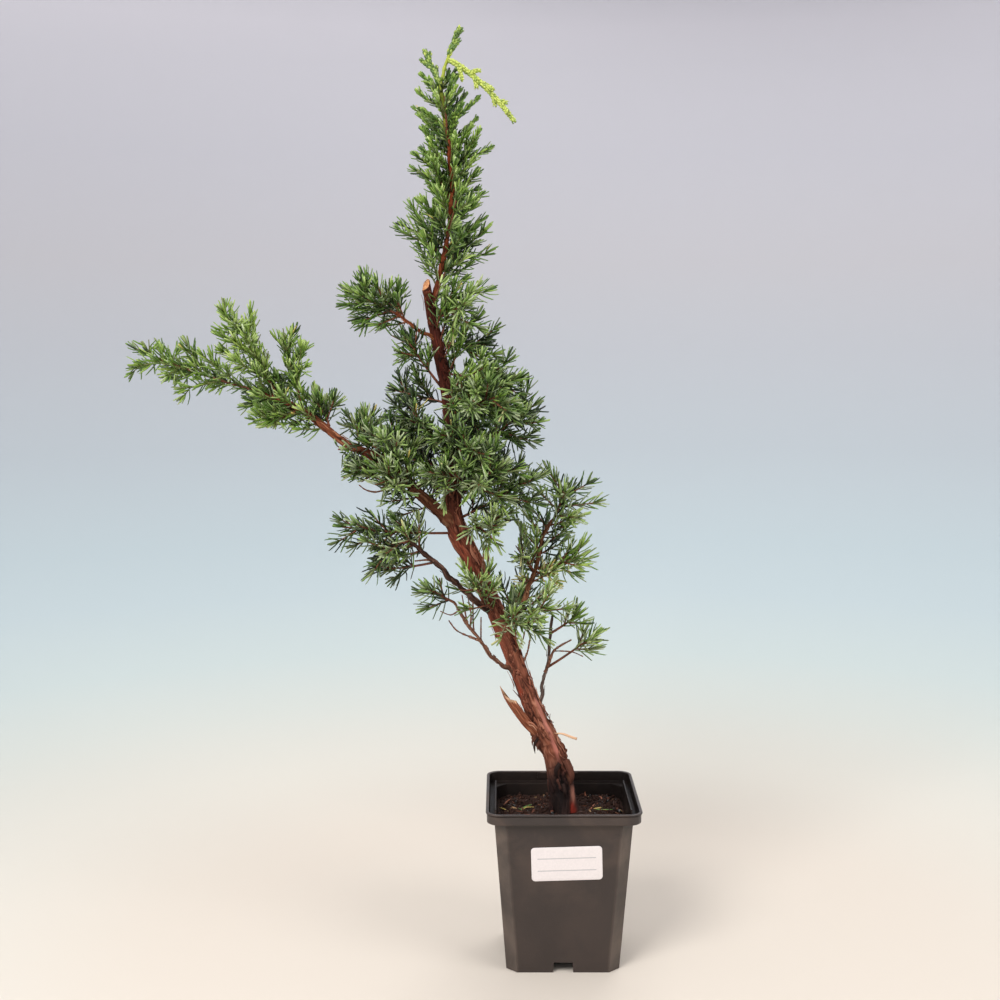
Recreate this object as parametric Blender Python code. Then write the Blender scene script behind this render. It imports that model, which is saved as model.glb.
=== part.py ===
"""Kishu juniper bonsai standing in its square nursery pot, at its own size.

Metres, +Z up. The origin is the centre of the pot's underside and the pot's front looks
along -Y. Every limb is a tapering tube along a smooth curve. Every mass of foliage is one
stem whose side shoots are dealt out by a seeded rule, and each shoot is a slim three-sided
core with needles drawn out of its faces. A needle or twig that would touch a limb or another
mass is left out, so each mass keeps to its own space.
"""

from dataclasses import dataclass
from math import cos, pi, radians, sin

import bmesh
import bpy
import numpy as np
from mathutils.bvhtree import BVHTree

# The clear gap between pieces that touch on the real plant
CLEAR = 0.0003

# The pot: a thin moulded shell, square with cut corners, under a band with round corners
POT_HEIGHT = 0.120
FOOT_HALF = 0.0405
FOOT_CORNER = 0.0075
BAND_FOOT = 0.112
NECK_HALF = 0.0490
NECK_CORNER = 0.0077
BAND_HALF = 0.0542
BAND_CORNER = 0.0095
LIP_HALF = 0.0550
LIP_HEIGHT = 0.0014
WALL = 0.0014
LEDGE = 0.1122
FLOOR = 0.0016
CORNER_POINTS = 4

# The drain channels that cross under the pot and leave a notch in each side
CHANNEL_WIDTH = 0.015
CHANNEL_HEIGHT = 0.0078
CHANNEL_WALL = 0.0014
CENTRE_FOOT_RADIUS = 0.0058
DRAIN_HOLE_RADIUS = 0.0045
DRAIN_HOLE_PLACE = 0.023

# Potting soil, and the label on the pot's front
SOIL_TOP = 0.1060
SOIL_EDGE_DROP = 0.0025
SOIL_FLAT_SHARE = 0.72
LABEL_WIDTH = 0.050
LABEL_HEIGHT = 0.025
LABEL_THICKNESS = 0.0003
LABEL_CORNER = 0.0025
LABEL_CENTRE_X = 0.002
LABEL_CENTRE_Z = 0.0825
LABEL_TURN = radians(1.8)

# How shoots grow
GOLDEN_ANGLE = radians(137.508)
LIFT = 0.08
AXIS_POINTS = 13
TIP_NEEDLE = 0.005

# How a shoot is drawn in these solids: fewer and broader needles than the real plant has
NEEDLE_LENGTH = 0.0105
NEEDLE_LEAN = radians(50)
WHORL_STEP = 0.0094
STEM_RADIUS = 0.0012
SHOOT_RADIUS = 0.0008
TIP_RADIUS = 0.0005
SHORTEST_SHOOT = 0.008
SCALE_LEAF_LENGTH = 0.0035
SCALE_LEAF_LEAN = radians(28)
SCALE_LEAF_STEP = 0.0055
TWIST = radians(37)
TIP_FADE = 0.35

# The room kept round a needle and round a shoot's core when they are tested against their neighbours
ROOM = 1.3 * CLEAR
CORE_ROOM = 2.5 * ROOM


@dataclass
class Limb:
    """A tapering limb: the limb it leaves, the points its middle line passes, and its radii."""

    name: str
    parent: str
    path: tuple
    foot: float
    tip: float
    sides: int = 6
    rings: int = 9


@dataclass
class Mass:
    """A mass of foliage: the limb it leaves, where along it, and how far its leading shoot reaches.

    Its shoots turn up towards their tips by bow times their length, or nod where bow is negative.
    """

    name: str
    limb: str
    at: float
    reach: tuple
    shoots: int
    shoot_length: float
    bare: float = 0.007
    spread: float = 44.0
    scale_leaved: bool = False
    bow: float = LIFT


TRUNK_PATH = (
    (0.004, -0.003, 0.106), (-0.005, 0.000, 0.148), (-0.017, 0.002, 0.173), (-0.027, 0.004, 0.197),
    (-0.043, 0.002, 0.240), (-0.063, -0.002, 0.287), (-0.077, -0.003, 0.318), (-0.079, 0.000, 0.349),
    (-0.081, 0.002, 0.399), (-0.089, -0.002, 0.445), (-0.097, -0.004, 0.487),
)
TRUNK_RADII = (
    (0.000, 0.0125), (0.018, 0.0100), (0.050, 0.0080), (0.100, 0.0073), (0.160, 0.0070),
    (0.215, 0.0078), (0.250, 0.0062), (0.300, 0.0053), (0.360, 0.0044), (0.420, 0.0037),
)
TRUNK_SIDES = 12
TRUNK_RINGS = 27
FLARE_LOBES = 4
FLARE_DEPTH = 0.16
FLARE_FADE = 0.022
RIDGES = 3
RIDGE_DEPTH = 0.03
RIDGE_TWIST = 40.0
CUT_SLANT = (-0.75, -0.15, 0.65)

LIMBS = (
    Limb("leader", "trunk",
         ((-0.094, -0.002, 0.472), (-0.087, 0.003, 0.495), (-0.083, 0.003, 0.515), (-0.079, 0.001, 0.550),
          (-0.081, -0.002, 0.585), (-0.086, -0.001, 0.622), (-0.081, 0.000, 0.645)),
         0.0026, 0.0008, rings=16),
    Limb("long_bough", "trunk",
         ((-0.078, -0.002, 0.318), (-0.098, -0.010, 0.336), (-0.123, -0.014, 0.361),
          (-0.154, -0.016, 0.377), (-0.182, -0.016, 0.398), (-0.211, -0.016, 0.412)),
         0.0046, 0.0020, sides=7, rings=14),
    Limb("upper_left_bough", "trunk",
         ((-0.090, -0.003, 0.448), (-0.102, -0.010, 0.456), (-0.118, -0.013, 0.467)),
         0.0021, 0.0013, sides=5, rings=6),
    Limb("low_left_bough", "trunk",
         ((-0.050, -0.001, 0.258), (-0.071, -0.014, 0.270), (-0.091, -0.024, 0.290), (-0.108, -0.027, 0.306)),
         0.0024, 0.0013, sides=6, rings=9),
    Limb("lowest_twig", "trunk",
         ((-0.034, 0.002, 0.211), (-0.051, -0.010, 0.223), (-0.059, -0.014, 0.235), (-0.067, -0.017, 0.245),
          (-0.077, -0.023, 0.265)),
         0.0018, 0.0009, sides=5, rings=9),
    Limb("right_twig", "trunk",
         ((-0.024, 0.004, 0.191), (-0.014, 0.006, 0.199), (-0.011, 0.008, 0.217), (-0.008, 0.006, 0.232),
          (0.004, 0.002, 0.247)),
         0.0016, 0.0009, sides=5, rings=10),
    Limb("right_bough", "trunk",
         ((-0.040, 0.004, 0.240), (-0.028, 0.012, 0.258), (-0.022, 0.020, 0.277), (-0.010, 0.025, 0.305),
          (-0.004, 0.026, 0.319)),
         0.0023, 0.0013, sides=6, rings=10),
    Limb("bark_spur", "trunk",
         ((-0.016, -0.001, 0.167), (-0.027, -0.011, 0.178), (-0.035, -0.015, 0.188), (-0.046, -0.018, 0.202)),
         0.0052, 0.0009, sides=6, rings=6),
)

# The ring of masses round the leader, all by one rule
COLUMN_MASSES = 8
COLUMN_LOWEST = 0.07
COLUMN_HIGHEST = 0.67
COLUMN_OUT = 0.025
COLUMN_UP = 0.030
COLUMN_SHOOTS = 5
COLUMN_SHOOT_LENGTH = 0.031
COLUMN_SPREAD = 42.0
COLUMN_BARE = 0.003
COLUMN_TAPER = 0.30
COLUMN_TURN = radians(20)

MASSES = (
    Mass("long_tip", "long_bough", 0.99, (-0.096, 0.010, 0.032), 9, 0.031, 0.004, 38),
    Mass("long_fork_spray", "long_bough", 0.93, (-0.030, -0.006, 0.056), 9, 0.032, 0.014, 40),
    Mass("long_twig_spray", "long_bough", 0.81, (-0.016, 0.014, 0.050), 8, 0.029, 0.018, 46),
    Mass("long_back_spray", "long_bough", 0.85, (-0.037, 0.030, 0.005), 4, 0.023),
    Mass("long_under_spray", "long_bough", 0.83, (-0.022, -0.011, -0.009), 4, 0.018),
    Mass("bough_top_spray", "long_bough", 0.67, (-0.005, 0.002, 0.017), 5, 0.018),
    Mass("bough_back_spray", "long_bough", 0.46, (-0.008, 0.022, 0.021), 4, 0.022),
    Mass("bough_under_spray", "long_bough", 0.53, (-0.018, -0.012, 0.001), 4, 0.015, 0.004),
    Mass("bough_low_spray", "long_bough", 0.31, (-0.037, -0.008, 0.006), 6, 0.023),
    Mass("bough_up_spray", "long_bough", 0.29, (-0.010, -0.017, 0.030), 5, 0.024),
    Mass("upper_left_spray", "upper_left_bough", 0.98, (-0.038, -0.003, 0.017), 7, 0.027, 0.003, 46),
    Mass("upper_left_inner", "upper_left_bough", 0.70, (-0.005, 0.010, 0.029), 4, 0.022),
    Mass("upper_right_high", "trunk", 0.94, (0.025, -0.017, 0.012), 4, 0.024),
    Mass("upper_right_mid", "trunk", 0.89, (0.034, 0.018, 0.001), 5, 0.025),
    Mass("upper_right_low", "trunk", 0.84, (0.043, -0.018, -0.006), 6, 0.027),
    Mass("mid_left_high", "trunk", 0.82, (-0.028, -0.013, 0.040), 5, 0.021, 0.016),
    Mass("mid_left_low", "trunk", 0.79, (-0.037, 0.014, 0.010), 4, 0.023),
    Mass("mid_right_front", "trunk", 0.78, (0.036, -0.044, 0.010), 6, 0.030),
    Mass("mid_right_back", "trunk", 0.76, (0.035, 0.040, 0.013), 6, 0.030),
    Mass("inner_left_front", "trunk", 0.72, (-0.031, -0.025, 0.021), 6, 0.026),
    Mass("right_star", "trunk", 0.69, (0.058, 0.005, 0.040), 7, 0.029, 0.026, 56),
    Mass("inner_left_back", "trunk", 0.65, (-0.030, 0.038, 0.025), 5, 0.026),
    Mass("centre_front", "trunk", 0.63, (0.031, -0.043, 0.021), 7, 0.030, 0.007, 50),
    Mass("centre_back", "trunk", 0.61, (0.026, 0.045, 0.033), 6, 0.028),
    Mass("centre_right", "trunk", 0.58, (0.051, -0.008, 0.031), 7, 0.030, 0.007, 50),
    Mass("right_bough_star", "right_bough", 0.99, (0.010, -0.005, 0.028), 8, 0.027, 0.003, 62),
    Mass("right_low_spray", "right_bough", 0.54, (0.041, -0.005, 0.007), 4, 0.019, 0.016),
    Mass("right_inner_spray", "right_bough", 0.52, (-0.013, -0.018, 0.022), 4, 0.019),
    Mass("left_twig_spray", "trunk", 0.56, (-0.079, -0.026, 0.008), 10, 0.026, 0.016),
    Mass("low_left_tip", "low_left_bough", 0.98, (-0.024, -0.009, -0.006), 5, 0.023, 0.003),
    Mass("low_left_side", "low_left_bough", 0.71, (-0.041, 0.010, -0.007), 4, 0.019, 0.014),
    Mass("lowest_twig_spray", "lowest_twig", 0.98, (-0.023, -0.008, 0.015), 6, 0.020, 0.004),
    Mass("low_front_left", "trunk", 0.40, (-0.016, -0.029, 0.029), 4, 0.020),
    Mass("low_front_right", "trunk", 0.39, (0.035, -0.026, 0.008), 6, 0.027),
    Mass("low_back", "trunk", 0.38, (0.020, 0.037, 0.017), 5, 0.026),
    Mass("right_twig_spray", "right_twig", 0.96, (0.016, -0.008, 0.009), 3, 0.017, 0.003),
    Mass("right_fork_spray", "right_twig", 0.38, (0.043, 0.011, 0.017), 6, 0.018, 0.030),
    Mass("apex_droop", "leader", 0.985, (0.049, -0.015, -0.047), 9, 0.015, 0.0, 40, True, -0.30),
    Mass("apex_top", "leader", 0.96, (0.010, 0.002, 0.024), 4, 0.010, 0.0, 34, True),
    Mass("apex_left", "leader", 0.88, (-0.013, 0.004, 0.028), 3, 0.012, 0.0, 34, True),
)


def clear_scene():
    """Remove every object that the file starts with."""
    for thing in list(bpy.data.objects):
        bpy.data.objects.remove(thing, do_unlink=True)


def finish(name, colour, roughness, metallic=0.0):
    """A Principled material with the part's colour."""
    material = bpy.data.materials.get(name)
    if material:
        return material
    material = bpy.data.materials.new(name)
    material.use_nodes = True
    shader = material.node_tree.nodes["Principled BSDF"]
    shader.inputs["Base Color"].default_value = (*colour, 1.0)
    shader.inputs["Roughness"].default_value = roughness
    shader.inputs["Metallic"].default_value = metallic
    return material


def pot_plastic():
    return finish("pot plastic", (0.060, 0.052, 0.050), 0.45)


def damp_soil():
    return finish("damp soil", (0.022, 0.013, 0.009), 0.95)


def label_paper():
    return finish("label paper", (0.80, 0.80, 0.80), 0.5)


def bark():
    return finish("bark", (0.21, 0.075, 0.045), 0.85)


def foliage():
    return finish("juniper needles", (0.075, 0.155, 0.060), 0.6)


def add_object(name, vertices, faces, material):
    """One named object from vertices and faces in world places."""
    mesh = bpy.data.meshes.new(name)
    mesh.from_pydata([tuple(v) for v in vertices], [], [tuple(f) for f in faces])
    mesh.materials.append(material)
    thing = bpy.data.objects.new(name, mesh)
    bpy.context.scene.collection.objects.link(thing)
    return thing


def evenly(points, count):
    """The given polyline again, with its points evenly spaced along its length."""
    steps = np.linalg.norm(np.diff(points, axis=0), axis=1)
    along = np.concatenate(([0.0], np.cumsum(steps)))
    wanted = np.linspace(0.0, along[-1], count)
    return np.stack([np.interp(wanted, along, points[:, k]) for k in range(3)], axis=1)


def smooth_curve(path, count):
    """A Catmull-Rom curve through the path's points, evenly spaced."""
    p = np.array(path, float)
    p = np.vstack([2 * p[0] - p[1], p, 2 * p[-1] - p[-2]])
    t = np.linspace(0.0, 1.0, 16, endpoint=False)[:, None]
    spans = []
    for a, b, c, d in zip(p, p[1:], p[2:], p[3:]):
        cubic = (3 * b - a - 3 * c + d) * t**3
        square = (2 * a - 5 * b + 4 * c - d) * t**2
        spans.append(0.5 * (2 * b + (c - a) * t + square + cubic))
    return evenly(np.vstack(spans + [p[-2:-1]]), count)


def lengths_along(points):
    """How far along the polyline each of its points lies."""
    return np.concatenate(([0.0], np.cumsum(np.linalg.norm(np.diff(points, axis=0), axis=1))))


def unit(vectors):
    """The vectors at length one."""
    return vectors / np.linalg.norm(vectors, axis=-1, keepdims=True)


def frames(points):
    """Tangent, side and top directions at each point: side x top = tangent."""
    tangent = unit(np.gradient(points, axis=0))
    chord = points[-1] - points[0]
    reference = np.zeros(3)
    reference[np.argmin(np.abs(chord))] = 1.0
    side = unit(np.cross(reference, tangent))
    return tangent, side, np.cross(tangent, side)


def slid_onto(ring, direction, point, normal):
    """The ring's corners moved along a direction until they lie on a plane."""
    slide = (point - ring) @ normal / (direction @ normal)
    return ring + slide[:, None] * direction


def tube_faces(rings, sides):
    """Quads between rings of corners, closed by a flat cap at each end."""
    faces = []
    for i in range(rings - 1):
        for j in range(sides):
            k = (j + 1) % sides
            faces.append((i * sides + j, i * sides + k, (i + 1) * sides + k, (i + 1) * sides + j))
    faces.append(tuple(reversed(range(sides))))
    faces.append(tuple((rings - 1) * sides + j for j in range(sides)))
    return faces


class Placed:
    """Everything made so far, as triangles to test the next piece against."""

    def __init__(self):
        self.vertices = []
        self.faces = []
        self.trees = {}

    def add(self, name, vertices, faces):
        first = len(self.vertices)
        self.vertices += [tuple(v) for v in vertices]
        self.faces += [tuple(first + i for i in f) for f in faces]
        self.trees[name] = BVHTree.FromPolygons([tuple(v) for v in vertices], [tuple(f) for f in faces])

    def tree(self):
        return BVHTree.FromPolygons(self.vertices, self.faces)


def seat_on(tree, start, direction, normal, radius):
    """The point where a limb's flat foot stands CLEAR of its parent's surface, on the limb's line."""
    across = unit(np.cross(normal, direction + 1e-6))
    other = np.cross(normal, across)
    angles = np.linspace(0.0, 2 * pi, 12, endpoint=False)
    disc = [np.zeros(3)]
    for share in (0.5, 1.0):
        disc += [share * radius * (cos(a) * across + sin(a) * other) for a in angles]
    away = start + normal * 0.004
    for _ in range(5):
        gaps = [tree.find_nearest(tuple(away + offset))[3] for offset in disc]
        away = away - normal * (min(gaps) - CLEAR)
    return start + direction * ((away - start) @ normal) / (direction @ normal)


def leave_parent(points, parent_line, parent_radius):
    """The part of a limb's line outside its parent, and the parent's outward direction there."""
    gaps = np.linalg.norm(points[:, None] - parent_line[None], axis=2)
    nearest = gaps.argmin(axis=1)
    outside = gaps[np.arange(len(points)), nearest] > parent_radius[nearest]
    first = int(np.argmax(outside))
    tangent = unit(np.gradient(parent_line, axis=0))[nearest[first]]
    outward = points[first] - parent_line[nearest[first]]
    return points[first:], unit(outward - (outward @ tangent) * tangent)


def make_trunk(placed):
    """The trunk: a flared foot cut flat at the soil, ridged bark, and a slanting cut on top."""
    line = smooth_curve(TRUNK_PATH, TRUNK_RINGS)
    along = lengths_along(line)
    radius = np.interp(along, *zip(*TRUNK_RADII))
    tangent, side, top = frames(line)
    angles = np.linspace(0.0, 2 * pi, TRUNK_SIDES, endpoint=False)
    flare = FLARE_DEPTH * np.exp(-along / FLARE_FADE)[:, None] * np.cos(FLARE_LOBES * angles)
    ridge = RIDGE_DEPTH * np.cos(RIDGES * angles + RIDGE_TWIST * along[:, None])
    reach = radius[:, None] * (1.0 + flare + ridge)
    rings = (line[:, None] + (reach * np.cos(angles))[..., None] * side[:, None]
             + (reach * np.sin(angles))[..., None] * top[:, None])
    foot = np.array([0.0, 0.0, SOIL_TOP + CLEAR])
    rings[0] = slid_onto(rings[0], tangent[0], foot, np.array([0.0, 0.0, 1.0]))
    slant = unit(np.array(CUT_SLANT))
    rings[-1] = slid_onto(rings[-1], tangent[-1], line[-1], slant)
    vertices = rings.reshape(-1, 3)
    faces = tube_faces(TRUNK_RINGS, TRUNK_SIDES)
    add_object("trunk", vertices, faces, bark())
    placed.add("trunk", vertices, faces)
    return line, radius


def make_limb(limb, lines, placed):
    """A tapering limb, its flat foot set against the limb that it leaves."""
    parent_line, parent_radius = lines[limb.parent]
    dense = smooth_curve(limb.path, 160)
    dense, outward = leave_parent(dense, parent_line, parent_radius)
    line = evenly(dense, limb.rings)
    direction = unit(line[1] - line[0])
    line[0] = seat_on(placed.trees[limb.parent], line[0], direction, outward, limb.foot)
    radius = np.linspace(limb.foot, limb.tip, limb.rings)
    tangent, side, top = frames(line)
    angles = np.linspace(0.0, 2 * pi, limb.sides, endpoint=False)
    rings = (line[:, None] + (radius[:, None] * np.cos(angles))[..., None] * side[:, None]
             + (radius[:, None] * np.sin(angles))[..., None] * top[:, None])
    rings[0] = slid_onto(rings[0], direction, line[0], outward)
    vertices = rings.reshape(-1, 3)
    faces = tube_faces(limb.rings, limb.sides)
    add_object(limb.name, vertices, faces, bark())
    placed.add(limb.name, vertices, faces)
    return line, radius


def shoot_axis(start, reach, bow):
    """A shoot's middle line: it leaves low and lifts towards its tip, or nods with a negative bow."""
    t = np.linspace(0.0, 1.0, AXIS_POINTS)[:, None]
    lift = np.array([0.0, 0.0, bow * np.linalg.norm(reach)])
    return start + (reach - lift) * t + lift * t**2


def grow(mass, seed, root):
    """The middle lines of a mass's shoots: the leading one, then the side shoots round it.

    Side shoot k leaves a share of the way up the leading shoot and is turned by the golden
    angle from the one before; lower ones are longer and spread wider.
    """
    chance = np.random.default_rng(seed)
    reach = np.array(mass.reach)
    length = np.linalg.norm(reach)
    lead = shoot_axis(root, reach * (1.0 - TIP_NEEDLE / length), mass.bow)
    tangent, side, top = frames(lead)
    axes = [lead]
    first = max(0.12, mass.bare / length)
    turn = chance.uniform(0.0, 2 * pi)
    for k in range(mass.shoots):
        share = first + (0.90 - first) * (k + 0.3 + 0.3 * chance.random()) / mass.shoots
        i = share * (AXIS_POINTS - 1)
        start = np.array([np.interp(i, np.arange(AXIS_POINTS), lead[:, c]) for c in range(3)])
        near = int(round(i))
        turn += GOLDEN_ANGLE + chance.uniform(-0.3, 0.3)
        spread = radians(mass.spread) * (1.15 - 0.35 * share)
        out = cos(turn) * side[near] + sin(turn) * top[near]
        size = mass.shoot_length * (1.15 - 0.55 * share) * chance.uniform(0.88, 1.12)
        way = cos(spread) * tangent[near] + sin(spread) * out
        axes.append(shoot_axis(start, size * way, mass.bow))
    return axes


def stem_seat(mass, lines, placed):
    """Where a mass's stem stands against its limb: on its tip, or on its side facing the reach."""
    line, radius = lines[mass.limb]
    reach = unit(np.array(mass.reach))
    where = mass.at * (len(line) - 1)
    index = int(where)
    point = line[index] + (line[min(index + 1, len(line) - 1)] - line[index]) * (where - index)
    tangent = unit(np.gradient(line, axis=0))[index]
    if mass.at > 0.95 and reach @ tangent > 0.3:
        return line[-1] + tangent * CLEAR, tangent
    across = reach - (reach @ tangent) * tangent
    outward = unit(across)
    start = point + outward * radius[index]
    return seat_on(placed.trees[mass.limb], start, outward, outward, STEM_RADIUS), outward


def shoot_rings(axis, foot, tip, step):
    """Three-cornered rings along a shoot, each turned a little from the last."""
    length = lengths_along(axis)[-1]
    count = max(2, int(round(length / step)) + 1)
    line = evenly(axis, count)
    tangent, side, top = frames(line)
    radius = np.linspace(foot, tip, count)[:, None]
    angles = 2 * pi * np.arange(3) / 3 + TWIST * np.arange(count)[:, None]
    rings = (line[:, None] + (radius * np.cos(angles))[..., None] * side[:, None]
             + (radius * np.sin(angles))[..., None] * top[:, None])
    return line, tangent, rings


def inflated(corners, apex, out):
    """A block a little larger than a needle, to test for room: four corners and a widened tip."""
    along = unit(corners[3] - corners[0])
    across = unit(np.cross(along, out))
    grow_by = ROOM
    middle = corners.mean(axis=0)
    base = []
    for corner in corners:
        offset = corner - middle
        base.append(corner + grow_by * (np.sign(offset @ along) * along + np.sign(offset @ across) * across))
    tip = apex + grow_by * unit(apex - middle)
    return np.array(base + [tip - grow_by * across, tip + grow_by * across])


def needles_with_room(line, tangent, rings, needle, lean, step, bare, tree):
    """The needles' points that touch nothing, by ring and face."""
    blocks = []
    keys = []
    points = {}
    along = lengths_along(line)
    for i in range(len(line) - 1):
        if along[i] < bare:
            continue
        fade = 1.0 - TIP_FADE * (along[i] / along[-1]) ** 3
        for j in range(3):
            k = (j + 1) % 3
            corners = np.array([rings[i, j], rings[i, k], rings[i + 1, k], rings[i + 1, j]])
            middle = corners.mean(axis=0)
            axis_point = 0.5 * (line[i] + line[i + 1])
            out = middle - axis_point
            out = unit(out - (out @ tangent[i]) * tangent[i])
            apex = middle + needle * fade * (cos(lean) * tangent[i] + sin(lean) * out)
            points[i, j] = apex
            keys.append((i, j))
            blocks.append(inflated(corners, apex, out))
    if not blocks:
        return {}
    vertices = [tuple(v) for v in np.vstack(blocks)]
    shape = ((0, 1, 4), (1, 2, 5), (1, 5, 4), (2, 3, 5), (3, 0, 4), (3, 4, 5))
    faces = [tuple(6 * n + c for c in face) for n in range(len(blocks)) for face in shape]
    test = BVHTree.FromPolygons(vertices, faces)
    taken = {keys[a // len(shape)] for a, _ in test.overlap(tree)}
    return {key: point for key, point in points.items() if key not in taken}


def fattened(ring, middle):
    """A shoot's ring of corners widened by the room that is kept round it."""
    return middle + (ring - middle) * (1.0 + CORE_ROOM / SHOOT_RADIUS)


def room_for_core(rings, seated, tree):
    """How many rings of a shoot's core fit before it would touch anything.

    The first stretch of a seated stem is tested as it is, because it stands against its limb.
    """
    fat = fattened(rings, rings.mean(axis=1, keepdims=True))
    if seated:
        fat[0] = rings[0]
    for i in range(len(rings) - 1):
        vertices = [tuple(v) for v in np.vstack([fat[i], fat[i + 1]])]
        faces = [(0, 1, 4, 3), (1, 2, 5, 4), (2, 0, 3, 5)]
        if BVHTree.FromPolygons(vertices, faces).overlap(tree):
            return i + 1
    return len(rings)


def tip_has_room(ring, middle, tip_point, tree):
    """Whether the needle at a shoot's tip would touch nothing."""
    fat = fattened(ring, middle)
    far = tip_point + ROOM * unit(tip_point - middle)
    vertices = [tuple(v) for v in (*fat, far)]
    return not BVHTree.FromPolygons(vertices, [(0, 1, 3), (1, 2, 3), (2, 0, 3)]).overlap(tree)


def shoot_mesh(rings, tip_point, needles):
    """A closed shoot: plain faces, and a four-sided pyramid wherever a needle grows."""
    vertices = [tuple(v) for ring in rings for v in ring]
    faces = [(2, 1, 0)]
    for i in range(len(rings) - 1):
        for j in range(3):
            k = (j + 1) % 3
            corners = (3 * i + j, 3 * i + k, 3 * i + 3 + k, 3 * i + 3 + j)
            if (i, j) in needles:
                apex = len(vertices)
                vertices.append(tuple(needles[i, j]))
                faces += [(corners[a], corners[(a + 1) % 4], apex) for a in range(4)]
            else:
                faces.append((corners[0], corners[1], corners[2]))
                faces.append((corners[0], corners[2], corners[3]))
    last = 3 * (len(rings) - 1)
    apex = len(vertices)
    vertices.append(tuple(tip_point))
    faces += [(last + j, last + (j + 1) % 3, apex) for j in range(3)]
    return vertices, faces


def draw_shoot(axis, mass, leading, seat, tree):
    """One shoot's mesh, or nothing where it has no room."""
    needle, lean, step = NEEDLE_LENGTH, NEEDLE_LEAN, WHORL_STEP
    foot, tip = (STEM_RADIUS, SHOOT_RADIUS) if leading else (SHOOT_RADIUS, TIP_RADIUS)
    if mass.scale_leaved:
        needle, lean, step = SCALE_LEAF_LENGTH, SCALE_LEAF_LEAN, SCALE_LEAF_STEP
    line, tangent, rings = shoot_rings(axis, foot, tip, step)
    if leading:
        point, outward = seat
        direction = unit(line[1] - line[0])
        if direction @ outward > 0.35:
            rings[0] = slid_onto(rings[0], direction, point, outward)
    tips = line + tangent * TIP_NEEDLE
    fit = room_for_core(rings, leading, tree)
    while fit > 1 and not tip_has_room(rings[fit - 1], line[fit - 1], tips[fit - 1], tree):
        fit -= 1
    if lengths_along(line)[fit - 1] < SHORTEST_SHOOT * (0.5 if mass.scale_leaved else 1.0):
        return None
    line, tangent, rings = line[:fit], tangent[:fit], rings[:fit]
    bare = mass.bare if leading else 0.3 * step
    kept = needles_with_room(line, tangent, rings, needle, lean, step, bare, tree)
    return shoot_mesh(rings, tips[fit - 1], kept)


def solid_islands(mesh):
    """The mesh's connected bodies as face lists, each with its signed volume."""
    work = bmesh.new()
    work.from_mesh(mesh)
    work.faces.ensure_lookup_table()
    seen = set()
    bodies = []
    for first in work.faces:
        if first.index in seen:
            continue
        seen.add(first.index)
        queue = [first]
        faces = []
        while queue:
            face = queue.pop()
            faces.append(face.index)
            for edge in face.edges:
                for other in edge.link_faces:
                    if other.index not in seen:
                        seen.add(other.index)
                        queue.append(other)
        volume = 0.0
        for index in faces:
            corners = [v.co for v in work.faces[index].verts]
            for b, c in zip(corners[1:], corners[2:]):
                volume += corners[0].dot(b.cross(c)) / 6.0
        bodies.append((volume, faces))
    work.free()
    return bodies


def keep_main_body(mesh):
    """Drop loose scraps and sealed hollows, then turn every face into triangles."""
    bodies = solid_islands(mesh)
    main = max(bodies, key=lambda body: body[0])
    keep = set(main[1])
    work = bmesh.new()
    work.from_mesh(mesh)
    work.faces.ensure_lookup_table()
    drop = [face for face in work.faces if face.index not in keep]
    bmesh.ops.delete(work, geom=drop, context="FACES")
    bmesh.ops.triangulate(work, faces=work.faces[:])
    closed = all(len(edge.link_faces) == 2 for edge in work.edges)
    work.to_mesh(mesh)
    work.free()
    return closed


def join_shoots(name, meshes, material, solver):
    """One body from a mass's shoots: a Boolean union with the collection of its side shoots."""
    lead = add_object(name, *meshes[0], material)
    collection = bpy.data.collections.new(name + " side shoots")
    bpy.context.scene.collection.children.link(collection)
    for number, (vertices, faces) in enumerate(meshes[1:]):
        side = add_object(f"{name}_side_{number}", vertices, faces, material)
        bpy.context.scene.collection.objects.unlink(side)
        collection.objects.link(side)
    if meshes[1:]:
        union = lead.modifiers.new("join", "BOOLEAN")
        union.operation = "UNION"
        union.operand_type = "COLLECTION"
        union.collection = collection
        union.solver = solver
    joined = lead.evaluated_get(bpy.context.evaluated_depsgraph_get())
    mesh = bpy.data.meshes.new_from_object(joined)
    lead.modifiers.clear()
    lead.data = mesh
    for side in list(collection.objects):
        bpy.data.objects.remove(side, do_unlink=True)
    bpy.data.collections.remove(collection)
    return lead, keep_main_body(mesh)


def make_mass(mass, seed, lines, placed):
    """One mass of foliage, kept clear of all that is there already."""
    seat, outward = stem_seat(mass, lines, placed)
    tree = placed.tree()
    axes = grow(mass, seed, seat)
    meshes = []
    for number, axis in enumerate(axes):
        mesh = draw_shoot(axis, mass, number == 0, (seat, outward), tree)
        if mesh:
            meshes.append(mesh)
        elif number == 0:
            raise RuntimeError(f"{mass.name}: its leading shoot has no room")
    for solver in ("EXACT", "MANIFOLD"):
        lead, closed = join_shoots(mass.name, meshes, foliage(), solver)
        if closed:
            break
        bpy.data.objects.remove(lead, do_unlink=True)
    else:
        raise RuntimeError(f"{mass.name}: its shoots don't join into one closed body")
    mesh = lead.data
    placed.add(mass.name, [v.co for v in mesh.vertices], [p.vertices for p in mesh.polygons])


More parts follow.
